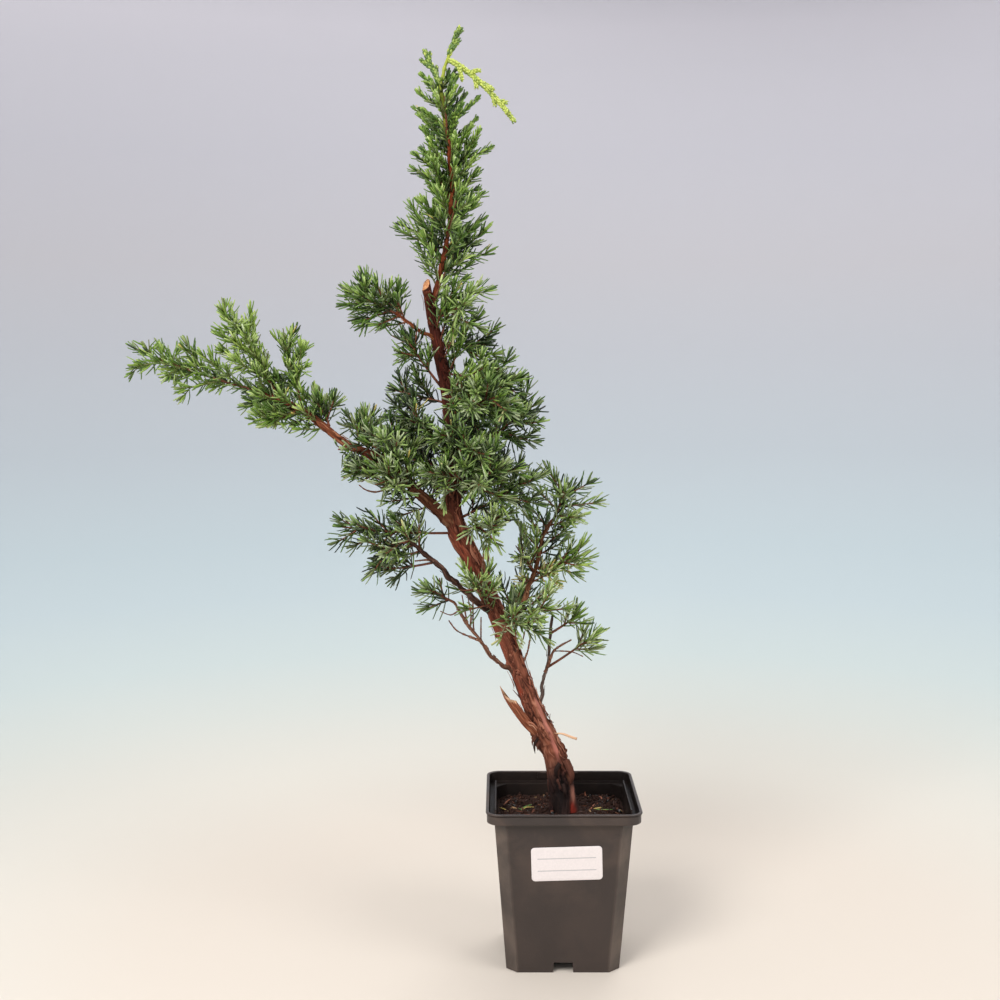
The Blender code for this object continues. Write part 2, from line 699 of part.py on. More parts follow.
def column_masses():
    """The masses that ring the leader, each turned by the golden angle from the one below."""
    masses = []
    for k in range(COLUMN_MASSES):
        share = k / (COLUMN_MASSES - 1)
        turn = COLUMN_TURN + k * GOLDEN_ANGLE
        slim = 1.0 - COLUMN_TAPER * share
        reach = (COLUMN_OUT * slim * cos(turn), COLUMN_OUT * slim * sin(turn), COLUMN_UP)
        at = COLUMN_LOWEST + (COLUMN_HIGHEST - COLUMN_LOWEST) * share
        masses.append(Mass(f"column_{k + 1}", "leader", at, reach, COLUMN_SHOOTS,
                           COLUMN_SHOOT_LENGTH * slim, COLUMN_BARE, COLUMN_SPREAD))
    return masses


def square_ring(half, corner, height, rounded):
    """Corners of a level square ring whose own corners are cut straight or rounded."""
    ring = []
    centre = half - corner
    for quarter in range(4):
        for n in range(CORNER_POINTS):
            share = n / (CORNER_POINTS - 1)
            if rounded:
                x, y = corner * cos(share * pi / 2), corner * sin(share * pi / 2)
            else:
                x, y = corner * (1.0 - share), corner * share
            x, y = centre + x, centre + y
            for _ in range(quarter):
                x, y = -y, x
            ring.append((x, y, height))
    return ring


def bridge_rings(rings):
    """Quads between square rings, closed by a flat face at each end."""
    vertices = [corner for ring in rings for corner in ring]
    return vertices, tube_faces(len(rings), len(rings[0]))


def block(name, low, high):
    """A plain box between two corners."""
    vertices = [(x, y, z) for z in (low[2], high[2]) for x, y in
                ((low[0], low[1]), (high[0], low[1]), (high[0], high[1]), (low[0], high[1]))]
    faces = [(3, 2, 1, 0), (4, 5, 6, 7), (0, 1, 5, 4), (1, 2, 6, 5), (2, 3, 7, 6), (3, 0, 4, 7)]
    return add_object(name, vertices, faces, pot_plastic())


def post(name, x, y, radius, low, high, sides=12):
    """An upright cylinder."""
    angles = [2 * pi * n / sides for n in range(sides)]
    rings = [[(x + radius * cos(a), y + radius * sin(a), z) for a in angles] for z in (low, high)]
    vertices, faces = bridge_rings(rings)
    return add_object(name, vertices, faces, pot_plastic())


def cut_or_join(thing, tool, operation):
    """Apply one Boolean to a piece and remove the tool."""
    boolean = thing.modifiers.new("work", "BOOLEAN")
    boolean.operation = operation
    boolean.object = tool
    evaluated = thing.evaluated_get(bpy.context.evaluated_depsgraph_get())
    mesh = bpy.data.meshes.new_from_object(evaluated)
    thing.modifiers.clear()
    thing.data = mesh
    bpy.data.objects.remove(tool, do_unlink=True)


def half_at(height):
    """Half the pot's outer width at a height on its sloping wall."""
    return FOOT_HALF + (NECK_HALF - FOOT_HALF) * height / BAND_FOOT


def make_pot(placed):
    """The moulded shell, its crossing drain channels, centre foot and drain holes."""
    rings = (
        square_ring(FOOT_HALF, FOOT_CORNER, 0.0, False),
        square_ring(NECK_HALF, NECK_CORNER, BAND_FOOT, False),
        square_ring(BAND_HALF, BAND_CORNER, BAND_FOOT, True),
        square_ring(BAND_HALF, BAND_CORNER, POT_HEIGHT - LIP_HEIGHT, True),
        square_ring(LIP_HALF, BAND_CORNER, POT_HEIGHT - LIP_HEIGHT, True),
        square_ring(LIP_HALF, BAND_CORNER, POT_HEIGHT, True),
        square_ring(BAND_HALF - WALL, BAND_CORNER - WALL, POT_HEIGHT, True),
        square_ring(BAND_HALF - WALL, BAND_CORNER - WALL, LEDGE, True),
        square_ring(NECK_HALF - WALL, NECK_CORNER - 0.4 * WALL, LEDGE, False),
        square_ring(half_at(FLOOR) - WALL, FOOT_CORNER - 0.4 * WALL, FLOOR, False),
    )
    vertices, faces = bridge_rings(rings)
    pot = add_object("pot", vertices, faces, pot_plastic())
    reach = half_at(CHANNEL_HEIGHT) - 0.5 * WALL
    ridge = 0.5 * CHANNEL_WIDTH + CHANNEL_WALL
    top = CHANNEL_HEIGHT + CHANNEL_WALL
    for length, width in ((reach, ridge), (ridge, reach)):
        cut_or_join(pot, block("ridge", (-length, -width, 0.5 * FLOOR), (length, width, top)), "UNION")
    half = 0.5 * CHANNEL_WIDTH
    for length, width in ((2 * reach, half), (half, 2 * reach)):
        cut_or_join(pot, block("channel", (-length, -width, -top), (length, width, CHANNEL_HEIGHT)),
                    "DIFFERENCE")
    for x, y in ((1, 0), (-1, 0), (0, 1), (0, -1)):
        hole = post("hole", x * DRAIN_HOLE_PLACE, y * DRAIN_HOLE_PLACE, DRAIN_HOLE_RADIUS, 0.002, 2 * top)
        cut_or_join(pot, hole, "DIFFERENCE")
    foot = post("foot", 0.0, 0.0, CENTRE_FOOT_RADIUS, 0.0, CHANNEL_HEIGHT + 0.5 * CHANNEL_WALL)
    cut_or_join(pot, foot, "UNION")
    placed.add("pot", [v.co for v in pot.data.vertices], [p.vertices for p in pot.data.polygons])


def make_soil(placed):
    """Soil that fills the shell, a little lower at its edge, with room for the channel ridges."""
    inner = half_at(0.0) - WALL - CLEAR
    top_half = half_at(SOIL_TOP - SOIL_EDGE_DROP) - WALL - CLEAR
    foot_corner = FOOT_CORNER - 0.4 * WALL
    top_corner = NECK_CORNER - 0.4 * WALL
    low = FLOOR + CLEAR
    rings = (
        square_ring(inner + (top_half - inner) * low / SOIL_TOP, foot_corner, low, False),
        square_ring(top_half, top_corner, SOIL_TOP - SOIL_EDGE_DROP, False),
        square_ring(SOIL_FLAT_SHARE * top_half, top_corner, SOIL_TOP, False),
    )
    vertices, faces = bridge_rings(rings)
    soil = add_object("soil", vertices, faces, damp_soil())
    ridge = 0.5 * CHANNEL_WIDTH + CHANNEL_WALL + CLEAR
    top = CHANNEL_HEIGHT + CHANNEL_WALL + CLEAR
    for length, width in ((FOOT_HALF * 2, ridge), (ridge, FOOT_HALF * 2)):
        cut_or_join(soil, block("groove", (-length, -width, -top), (length, width, top)), "DIFFERENCE")
    placed.add("soil", [v.co for v in soil.data.vertices], [p.vertices for p in soil.data.polygons])


def make_label(placed):
    """The blank label on the front wall, leaning with it and set a little askew."""
    ring = []
    for x, z, start in ((1, 1, 0), (-1, 1, 1), (-1, -1, 2), (1, -1, 3)):
        for n in range(4):
            a = (start + n / 3) * pi / 2
            ring.append((x * (LABEL_WIDTH / 2 - LABEL_CORNER) + LABEL_CORNER * cos(a),
                         z * (LABEL_HEIGHT / 2 - LABEL_CORNER) + LABEL_CORNER * sin(a)))
    draft = (NECK_HALF - FOOT_HALF) / BAND_FOOT
    slope = unit(np.array([0.0, -draft, 1.0]))
    out = unit(np.array([0.0, -1.0, -draft]))
    along = np.array([1.0, 0.0, 0.0])
    wall = np.array([LABEL_CENTRE_X, -half_at(LABEL_CENTRE_Z), LABEL_CENTRE_Z])
    vertices = []
    for lift in (CLEAR, CLEAR + LABEL_THICKNESS):
        for x, z in ring:
            x, z = x * cos(LABEL_TURN) - z * sin(LABEL_TURN), x * sin(LABEL_TURN) + z * cos(LABEL_TURN)
            vertices.append(wall + x * along + z * slope + lift * out)
    faces = tube_faces(2, len(ring))
    add_object("label", vertices, faces, label_paper())
    placed.add("label", vertices, faces)


def smooth_bark(name):
    """Smooth shading with sharp ends for a limb."""
    mesh = bpy.data.objects[name].data
    mesh.shade_smooth()
    mesh.set_sharp_from_angle(angle=radians(50))


def main():
    clear_scene()
    placed = Placed()
    make_pot(placed)
    make_soil(placed)
    make_label(placed)
    lines = {"trunk": make_trunk(placed)}
    for limb in LIMBS:
        lines[limb.name] = make_limb(limb, lines, placed)
    for name in lines:
        smooth_bark(name)
    for seed, mass in enumerate((*MASSES, *column_masses()), start=1):
        make_mass(mass, seed, lines, placed)


main()
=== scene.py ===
"""Looks of a kishu juniper bonsai in its square nursery pot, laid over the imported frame.

Metres, +Z up. Every new piece is a surface worked out with numpy: tubes carried along smooth
curves, grids of two parameters, and many small blades made as whole arrays. The foliage grows by
the same seeded rule as the solids and goes on from there to finer shoots.
"""

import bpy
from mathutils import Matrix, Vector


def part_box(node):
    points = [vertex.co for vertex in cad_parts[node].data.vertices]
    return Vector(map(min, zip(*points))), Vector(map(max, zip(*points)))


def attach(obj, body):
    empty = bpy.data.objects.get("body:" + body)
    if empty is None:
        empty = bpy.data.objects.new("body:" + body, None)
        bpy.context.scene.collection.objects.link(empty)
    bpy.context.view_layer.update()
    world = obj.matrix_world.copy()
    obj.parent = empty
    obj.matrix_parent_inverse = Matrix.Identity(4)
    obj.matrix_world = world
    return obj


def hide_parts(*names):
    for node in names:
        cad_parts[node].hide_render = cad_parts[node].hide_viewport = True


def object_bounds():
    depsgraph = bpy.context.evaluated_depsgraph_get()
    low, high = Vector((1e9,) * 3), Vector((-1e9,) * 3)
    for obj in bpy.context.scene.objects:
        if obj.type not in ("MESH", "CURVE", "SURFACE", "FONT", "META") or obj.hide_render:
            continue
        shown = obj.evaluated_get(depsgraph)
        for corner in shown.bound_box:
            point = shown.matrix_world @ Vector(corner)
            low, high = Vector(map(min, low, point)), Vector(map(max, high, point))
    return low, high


bl_info = {
    "name": "Kishu Juniper Bonsai",
    "version": (1, 0, 0),
    "blender": (4, 5, 0),
    "location": "3D View > Sidebar > Juniper",
    "description": "Dresses a young juniper and its nursery pot with bark, needles, soil and plastic",
    "category": "Object",
}

from dataclasses import dataclass
from math import cos, pi, radians, sin

import bmesh
import bpy
import numpy as np
from bpy.props import FloatProperty, FloatVectorProperty, IntProperty, PointerProperty
from mathutils import Vector

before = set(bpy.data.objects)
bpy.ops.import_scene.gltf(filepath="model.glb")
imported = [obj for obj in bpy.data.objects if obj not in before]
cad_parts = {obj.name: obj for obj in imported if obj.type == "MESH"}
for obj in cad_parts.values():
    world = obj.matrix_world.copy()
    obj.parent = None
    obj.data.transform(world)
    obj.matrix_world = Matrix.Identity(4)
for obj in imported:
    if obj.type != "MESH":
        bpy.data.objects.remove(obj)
CAD_BOX = [list(corner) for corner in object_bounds()]
BODY = "root"

# The photograph's camera: a pinhole in front of the pot, six degrees down
CAMERA_PLACE = (-0.045, -1.07, 0.447)
CAMERA_PITCH = radians(6.0)
CAMERA_LENS = 54.07
SENSOR_WIDTH = 36.0

# How shoots grow, as in the solids
GOLDEN_ANGLE = radians(137.508)
LIFT = 0.08
AXIS_POINTS = 13
TIP_NEEDLE = 0.005
# The finer shoots on them, and how flat those straight from a limb lie
FINE_FIRST = 0.28
FINE_LAST = 0.86
FINE_STEP = 0.0112
FINE_SPREAD = 44.0
FLATTEN = 0.7
# How far shoots and needles keep from the wood that they don't grow on
SHOOT_MARGIN = 0.0004
NEEDLE_MARGIN = 0.0002

# The pot
POT_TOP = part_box("pot")[1][2]
POT_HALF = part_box("pot")[1][0]
FOOT_HALF = 0.0405
FOOT_CORNER = 0.0075
BAND_FOOT = 0.112
NECK_HALF = 0.049
NECK_CORNER = 0.0077
BAND_HALF = 0.0542
BAND_CORNER = 0.0095
LIP_HEIGHT = 0.0014
WALL = 0.0014
LEDGE = 0.1122
FLOOR = 0.0016
CHANNEL_WIDTH = 0.015
CHANNEL_HEIGHT = 0.0078
# Upright strips inside two walls, brackets under the rear rim, the centre foot and the drain holes
STRIP_HALF = 0.0006
STRIP_REACH = 0.036
BRACKETS = (-0.013, 0.0115)
BRACKET_HALF = 0.0035
FOOT_RADIUS = 0.0058
HOLE_RADIUS = 0.0045
HOLE_OUT = 0.023
SOIL_TOP = 0.106
SOIL_FOOT = 0.0105
SOIL_CORNER = 0.0075
# The plastic's inside is darker by this share: painted shade
INSIDE_SHADE_SHARE = 0.3


@dataclass
class Limb:
    """A tapering limb that leaves the trunk: the points its middle line passes, its radii and its rings."""

    name: str
    path: tuple
    foot: float
    tip: float
    rings: int


@dataclass
class Mass:
    """A mass of foliage: its dress, the limb it leaves, where along it, and how far its first shoot reaches.

    stem is how far up its stem it carries no needles, and shift how much lighter it is than its
    dress, in steps of the ramp of greens.
    """

    name: str
    dress: str
    limb: str
    at: float
    reach: tuple
    shoots: int
    shoot_length: float
    bare: float = 0.007
    spread: float = 44.0
    bow: float = LIFT
    stem: float = 0.004
    shift: float = 0.0


TRUNK_PATH = (
    (0.004, -0.003, 0.106), (-0.005, 0.0, 0.148), (-0.017, 0.002, 0.173), (-0.027, 0.004, 0.197),
    (-0.043, 0.002, 0.24), (-0.063, -0.002, 0.287), (-0.077, -0.003, 0.318), (-0.079, 0.0, 0.349),
    (-0.081, 0.002, 0.399), (-0.089, -0.002, 0.445), (-0.097, -0.004, 0.487),
)
TRUNK_RADII = (
    (0.0, 0.0125), (0.018, 0.01), (0.05, 0.008), (0.1, 0.0073), (0.16, 0.007),
    (0.215, 0.0078), (0.25, 0.0062), (0.3, 0.0053), (0.36, 0.0044), (0.42, 0.0037),
)
TRUNK_RINGS = 27
FLARE_LOBES = 4
FLARE_DEPTH = 0.16
FLARE_FADE = 0.022
CUT_SLANT = (-0.6, -0.6, 0.53)

LIMBS = (
    Limb("leader",
         ((-0.094, -0.002, 0.472), (-0.087, 0.003, 0.495), (-0.083, 0.003, 0.515), (-0.079, 0.001, 0.55),
          (-0.081, -0.002, 0.585), (-0.086, -0.001, 0.622), (-0.081, 0.0, 0.645)),
         0.0026, 0.0008, rings=16),
    Limb("long_bough",
         ((-0.078, -0.002, 0.318), (-0.098, -0.01, 0.336), (-0.123, -0.014, 0.361),
          (-0.154, -0.016, 0.377), (-0.182, -0.016, 0.398), (-0.211, -0.016, 0.412)),
         0.0046, 0.002, rings=14),
    Limb("upper_left_bough",
         ((-0.09, -0.003, 0.448), (-0.102, -0.01, 0.456), (-0.118, -0.013, 0.467)),
         0.0021, 0.0013, rings=6),
    Limb("low_left_bough",
         ((-0.051, 0.0, 0.253), (-0.0629, -0.01, 0.2637), (-0.077, -0.015, 0.2775), (-0.0902, -0.02, 0.2919),
          (-0.1013, -0.023, 0.3016), (-0.109, -0.026, 0.3085)),
         0.0026, 0.0015, rings=9),
    Limb("lowest_twig",
         ((-0.034, 0.002, 0.2085), (-0.0414, -0.004, 0.2137), (-0.0507, -0.01, 0.2231),
          (-0.0586, -0.013, 0.2346), (-0.0671, -0.016, 0.2453), (-0.0727, -0.018, 0.2551),
          (-0.0776, -0.021, 0.264)),
         0.0017, 0.0009, rings=9),
    Limb("right_twig",
         ((-0.019, 0.003, 0.179), (-0.0147, 0.004, 0.1897), (-0.0136, 0.006, 0.1989),
          (-0.0114, 0.007, 0.2106), (-0.01, 0.007, 0.2202), (-0.009, 0.007, 0.2313),
          (-0.0079, 0.006, 0.2404), (-0.0073, 0.005, 0.25)),
         0.0016, 0.0009, rings=10),
    Limb("right_bough",
         ((-0.044, 0.004, 0.238), (-0.0319, 0.008, 0.2496), (-0.0253, 0.012, 0.2651), (-0.0209, 0.016, 0.277),
          (-0.0179, 0.018, 0.2841), (-0.015, 0.02, 0.3008), (-0.0113, 0.022, 0.3101),
          (-0.0055, 0.024, 0.3175)),
         0.0021, 0.0014, rings=10),
)

# The ring of masses round the leader, all by one rule
COLUMN_MASSES = 8
COLUMN_LOWEST = 0.1
COLUMN_HIGHEST = 0.67
COLUMN_OUT = 0.021
COLUMN_UP = 0.03
COLUMN_SHOOTS = 5
COLUMN_SHOOT_LENGTH = 0.027
COLUMN_SPREAD = 42.0
COLUMN_BARE = 0.003
COLUMN_TAPER = 0.3
COLUMN_TURN = radians(20)

MASSES = (
    Mass("long_tip", "long_end", "long_bough", 0.99, (-0.096, 0.01, 0.032), 9, 0.031, 0.004, 38),
    Mass("long_fork_spray", "long_end", "long_bough", 0.93, (-0.03, -0.006, 0.056), 9, 0.032, 0.014, 40,
         stem=0.008, shift=0.3),
    Mass("long_twig_spray", "long_end", "long_bough", 0.81, (-0.016, 0.014, 0.05), 8, 0.029, 0.018, 46,
         stem=0.012),
    Mass("long_back_spray", "long_end", "long_bough", 0.85, (-0.037, 0.03, 0.005), 4, 0.023),
    Mass("long_under_spray", "long_end", "long_bough", 0.83, (-0.022, -0.011, -0.009), 4, 0.018),
    Mass("bough_top_spray", "long_inner", "long_bough", 0.67, (-0.005, 0.002, 0.017), 5, 0.018),
    Mass("bough_back_spray", "long_inner", "long_bough", 0.46, (-0.008, 0.022, 0.021), 4, 0.022),
    Mass("bough_under_spray", "long_inner", "long_bough", 0.53, (-0.018, -0.012, 0.001), 4, 0.015, 0.004),
    Mass("bough_low_spray", "long_inner", "long_bough", 0.31, (-0.031, -0.008, 0.006), 5, 0.02),
    Mass("bough_up_spray", "long_inner", "long_bough", 0.29, (-0.01, -0.017, 0.03), 5, 0.024),
    Mass("upper_left_spray", "upper", "upper_left_bough", 0.98, (-0.029, -0.003, 0.016), 8, 0.02, 0.003, 42,
         shift=-0.25),
    Mass("upper_left_inner", "upper", "upper_left_bough", 0.9, (-0.008, 0.004, 0.016), 3, 0.014),
    Mass("upper_right_high", "upper", "trunk", 0.94, (0.025, -0.017, 0.012), 4, 0.024, shift=0.4),
    Mass("upper_right_mid", "upper", "trunk", 0.89, (0.034, 0.018, 0.001), 5, 0.025),
    Mass("upper_right_low", "upper", "trunk", 0.84, (0.043, -0.018, -0.006), 6, 0.027),
    Mass("mid_left_high", "upper", "trunk", 0.82, (-0.028, -0.013, 0.04), 5, 0.021, 0.016,
         stem=0.014, shift=-0.6),
    Mass("mid_left_low", "upper", "trunk", 0.79, (-0.037, 0.014, 0.01), 4, 0.023, shift=-0.8),
    Mass("mid_right_front", "middle", "trunk", 0.78, (0.036, -0.044, 0.01), 6, 0.03),
    Mass("mid_right_back", "middle", "trunk", 0.76, (0.035, 0.04, 0.013), 6, 0.03, shift=-1.1),
    Mass("inner_left_front", "middle", "trunk", 0.72, (-0.031, -0.025, 0.021), 6, 0.026, shift=-0.8),
    Mass("right_star", "middle", "trunk", 0.69, (0.058, 0.005, 0.04), 7, 0.029, 0.026, 56,
         stem=0.018, shift=0.35),
    Mass("inner_left_back", "middle", "trunk", 0.65, (-0.03, 0.038, 0.025), 5, 0.026, shift=-1.2),
    Mass("centre_front", "centre", "trunk", 0.63, (0.031, -0.043, 0.021), 7, 0.03, 0.007, 50, shift=0.1),
    Mass("centre_back", "centre", "trunk", 0.61, (0.026, 0.045, 0.033), 6, 0.028),
    Mass("centre_right", "centre", "trunk", 0.58, (0.051, -0.008, 0.031), 7, 0.03, 0.007, 50, shift=-0.8),
    Mass("right_bough_star", "right", "right_bough", 0.99, (0.01, -0.005, 0.028), 8, 0.027, 0.003, 62),
    Mass("right_low_spray", "right", "right_bough", 0.55, (0.034, -0.006, 0.011), 5, 0.017, 0.014,
         stem=0.014, shift=0.5),
    Mass("right_inner_spray", "right", "right_bough", 0.52, (-0.013, -0.018, 0.022), 4, 0.019),
    Mass("left_twig_spray", "low", "trunk", 0.56, (-0.079, -0.026, 0.008), 10, 0.026, 0.016,
         stem=0.022, shift=-1.6),
    Mass("low_left_tip", "low", "low_left_bough", 0.98, (-0.024, -0.009, -0.006), 5, 0.023, 0.003,
         shift=-1.3),
    Mass("low_left_side", "low", "low_left_bough", 0.71, (-0.041, 0.01, -0.007), 4, 0.019, 0.014,
         stem=0.014, shift=-1.2),
    Mass("lowest_twig_spray", "low", "lowest_twig", 0.98, (-0.02, -0.008, 0.013), 4, 0.016, 0.004,
         shift=-0.8),
    Mass("low_front_left", "low", "trunk", 0.4, (-0.016, -0.029, 0.029), 4, 0.02),
    Mass("low_front_right", "low", "trunk", 0.39, (0.035, -0.026, 0.008), 6, 0.027),
    Mass("low_back", "low", "trunk", 0.38, (0.02, 0.037, 0.017), 5, 0.026),
    Mass("right_twig_spray", "right", "right_twig", 0.8, (0.021, -0.003, 0.015), 3, 0.012, 0.012,
         stem=0.01),
    Mass("right_fork_spray", "right", "right_twig", 0.41, (0.037, -0.003, 0.027), 4, 0.013, 0.026,
         stem=0.024, shift=0.4),
    Mass("apex_droop", "scales", "leader", 0.985, (0.049, -0.015, -0.047), 9, 0.015, 0.0, 40, -0.3),
    Mass("apex_top", "scales", "leader", 0.96, (0.01, 0.002, 0.024), 4, 0.01, 0.0, 34),
    Mass("apex_left", "scales", "leader", 0.88, (-0.013, 0.004, 0.028), 3, 0.012, 0.0, 34),
)


@dataclass
class Dress:
    """How a group of masses looks: its greens' place on the ramp, how grey it is, and its needles' sizes."""

    name: str
    tone: float
    grey: float
    needle: float = 0.0122
    step: float = 0.0041
    fine: float = 0.015
    dry: float = 0.004


# Tufts on the trunk in front of the solids' masses, by the same rule
TUFTS = (
    Mass("tuft_mid", "middle", "trunk", 0.7, (0.002, -0.036, 0.022), 5, 0.022),
    Mass("tuft_mid_right", "middle", "trunk", 0.66, (0.019, -0.044, 0.026), 6, 0.024),
    Mass("tuft_mid_left", "centre", "trunk", 0.62, (-0.006, -0.033, 0.024), 5, 0.022),
    Mass("tuft_centre_low", "centre", "trunk", 0.56, (0.028, -0.03, 0.006), 5, 0.022, shift=0.3),
    Mass("tuft_light", "low", "trunk", 0.43, (-0.013, -0.022, 0.019), 4, 0.016, 0.003, 50),
    Mass("tuft_bright", "upper", "trunk", 0.79, (0.024, -0.04, 0.012), 6, 0.024, shift=0.4),
    Mass("tuft_low_right", "low", "trunk", 0.385, (0.016, -0.03, -0.001), 6, 0.022),
    Mass("tuft_bough", "long_inner", "long_bough", 0.2, (-0.022, -0.026, 0.016), 6, 0.024),
    Mass("tuft_dry", "dry", "right_bough", 0.52, (0.013, -0.01, -0.001), 3, 0.012, 0.003),
    Mass("tuft_dry_low", "dry", "right_bough", 0.44, (-0.006, -0.012, 0.004), 2, 0.008, 0.003),
)

DRESSES = (
    Dress("top", 3.5, 0.08, 0.0116, 0.0036, 0.0),
    Dress("long_end", 3.8, 0.1, 0.011, 0.0038, 0.012),
    Dress("long_inner", 2.9, 0.4),
    Dress("upper", 3.0, 0.18),
    Dress("middle", 2.4, 0.28),
    Dress("centre", 2.9, 0.5),
    Dress("right", 3.7, 0.45, 0.0146, 0.0039, 0.0),
    Dress("low", 3.6, 0.5, 0.0134, 0.0039, 0.0),
    Dress("dry", 4.4, 0.3, 0.012, 0.0056, 0.0, 0.65),
)

# Shoots that leave a limb straight: dress, limb, from and to share, how many, lengths, spread in degrees,
# and the side they grow on as the middle of a range of turns and its half width in degrees
LIMB_SHOOTS = (
    ("top", "leader", 0.05, 0.3, 18, 0.02, 0.025, 54, 0, 180),
    ("top", "leader", 0.3, 0.76, 34, 0.025, 0.024, 52, 0, 180),
    ("top", "leader", 0.76, 0.88, 12, 0.021, 0.012, 42, 0, 180),
    ("long_end", "long_bough", 0.68, 0.99, 20, 0.016, 0.017, 48, 0, 180),
    ("long_inner", "long_bough", 0.06, 0.52, 22, 0.024, 0.018, 58, 0, 180),
    ("upper", "trunk", 0.74, 0.975, 20, 0.026, 0.022, 42, -25, 62),
    ("middle", "trunk", 0.62, 0.76, 8, 0.026, 0.026, 50, -40, 70),
    ("right", "right_bough", 0.42, 0.97, 14, 0.024, 0.02, 58, 0, 180),
    ("upper", "upper_left_bough", 0.72, 1.0, 5, 0.016, 0.018, 50, 0, 180),
    ("low", "low_left_bough", 0.8, 1.0, 5, 0.018, 0.016, 50, 0, 180),
)
# Dresses whose side shoots are still green
GREEN_TWIGS = ("top", "long_end")
# Limbs that carry needles themselves: dress, limb, from and to share
LIMB_NEEDLES = (
    ("top", "leader", 0.72, 0.84),
    ("long_end", "long_bough", 0.84, 1.0),
)
# Stretches of bark that show from the front: limb, from and to share, half width, share of needles left out
BARE_BARK = (
    ("leader", 0.04, 0.98, 0.0021, 0.8),
    ("trunk", 0.82, 0.93, 0.0038, 0.8),
    ("trunk", 0.76, 0.82, 0.003, 0.6),
    ("trunk", 0.47, 0.66, 0.005, 0.62),
    ("low_left_bough", 0.08, 0.84, 0.0026, 0.95),
    ("upper_left_bough", 0.1, 0.95, 0.002, 0.85),
    ("long_bough", 0.45, 0.74, 0.0024, 0.6),
    ("trunk", 0.24, 0.33, 0.0062, 0.85),
    ("right_bough", 0.28, 0.6, 0.0024, 0.85),
    ("right_bough", 0.75, 0.98, 0.0016, 0.6),
)
# Gaps in the crown seen from the front: middle x and z, half width, half height, lean in degrees
CLEARINGS = (
    (-0.0983, 0.4888, 0.0042, 0.0055, 0),
    (-0.217, 0.369, 0.03, 0.0125, -22),
    (-0.174, 0.348, 0.011, 0.016, 0),
    (-0.0734, 0.4316, 0.003, 0.006, 8),
    (-0.0911, 0.4259, 0.0026, 0.009, 8),
    (-0.087, 0.3968, 0.0036, 0.003, 0),
    (-0.2984, 0.456, 0.0086, 0.0076, 0),
    (-0.2147, 0.3815, 0.015, 0.0046, 0),
    (-0.1985, 0.466, 0.008, 0.0072, 0),
    (-0.1774, 0.456, 0.008, 0.008, 0),
    (-0.1268, 0.4415, 0.005, 0.015, 0),
    (-0.1655, 0.3618, 0.0064, 0.015, 0),
    (-0.1452, 0.3396, 0.015, 0.0078, 0),
    (-0.0368, 0.308, 0.0044, 0.012, -8),
    (-0.2066, 0.444, 0.0034, 0.02, 24),
    (-0.172, 0.44, 0.005, 0.01, 0),
)

# The newest growth, from where it starts to where it is full: needle length, width, step and leans
YOUNG_LOW = 0.53
YOUNG_HIGH = 0.6
YOUNG_NEEDLE = (0.0056, 0.0017, 0.0021, 42.0, 22.0)

# Greens from deep shade to fresh growth, as sRGB out of 255, and the greyer greens of old sprays
GREEN_RAMP = ((17, 28, 6), (37, 56, 13), (67, 95, 27), (103, 132, 46), (135, 160, 67),
              (168, 188, 92), (199, 212, 122))
GREY_RAMP = ((20, 29, 14), (46, 58, 30), (86, 98, 53), (124, 136, 82), (157, 167, 110),
             (186, 195, 144), (209, 217, 174))
DRY_COLOUR = (200, 180, 96)
# How far upper faces go towards the pale colour: partly the needles' own bloom, partly a painted highlight
GREEN_BLOOM_AND_HIGHLIGHT = 0.28
GREY_BLOOM_AND_HIGHLIGHT = 0.42
BLOOM_AND_HIGHLIGHT_COLOUR = (206, 220, 190)

PIECE_LIMIT = 200_000


def linear(colour):
    """Scene-linear values of an sRGB colour given out of 255."""
    c = np.array(colour, float) / 255.0
    return tuple(float(x) for x in np.where(c <= 0.04045, c / 12.92, ((c + 0.055) / 1.055) ** 2.4))


# Curves


def evenly(points, count):
    """The given polyline again, with its points evenly spaced along its length."""
    along = lengths_along(points)
    return at_lengths(points, along, np.linspace(0.0, along[-1], count))


def at_lengths(points, along, wanted):
    """Points of a polyline at the wanted lengths along it."""
    return np.stack([np.interp(wanted, along, points[:, k]) for k in range(3)], axis=1)


def lengths_along(points):
    """How far along the polyline each of its points lies."""
    return np.concatenate(([0.0], np.cumsum(np.linalg.norm(np.diff(points, axis=0), axis=1))))


def smooth_curve(path, count):
    """A Catmull-Rom curve through the path's points, evenly spaced."""
    p = np.array(path, float)
    p = np.vstack([2 * p[0] - p[1], p, 2 * p[-1] - p[-2]])
    t = np.linspace(0.0, 1.0, 16, endpoint=False)[:, None]
    spans = []
    for a, b, c, d in zip(p, p[1:], p[2:], p[3:]):
        cubic = (3 * b - a - 3 * c + d) * t**3
        square = (2 * a - 5 * b + 4 * c - d) * t**2
        spans.append(0.5 * (2 * b + (c - a) * t + square + cubic))
    return evenly(np.vstack(spans + [p[-2:-1]]), count)


def unit(vectors):
    """The vectors at length one."""
    return vectors / np.linalg.norm(vectors, axis=-1, keepdims=True)


def frames(points):
    """Tangent, side and top directions at each point of a line, or of many lines: side x top = tangent."""
    tangent = unit(np.gradient(points, axis=-2))
    chord = points[..., -1, :] - points[..., 0, :]
    reference = np.eye(3)[np.abs(chord).argmin(axis=-1)]
    side = unit(np.cross(reference[..., None, :], tangent))
    return tangent, side, np.cross(tangent, side)


def spokes(turn, side, top):
    """Directions at the given turns round a line: cos(turn) * side + sin(turn) * top."""
    return np.cos(turn)[..., None] * side + np.sin(turn)[..., None] * top


def level_ring(radius, turn, height):
    """Points at the given turns round the upright through the pot."""
    return np.stack(np.broadcast_arrays(radius * np.cos(turn), radius * np.sin(turn), height), axis=-1)


def at_share(line, share):
    """The point at a share of a line's points, and the number of the point before it."""
    where = share * (len(line) - 1)
    index = int(where)
    return line[index] + (line[min(index + 1, len(line) - 1)] - line[index]) * (where - index), index


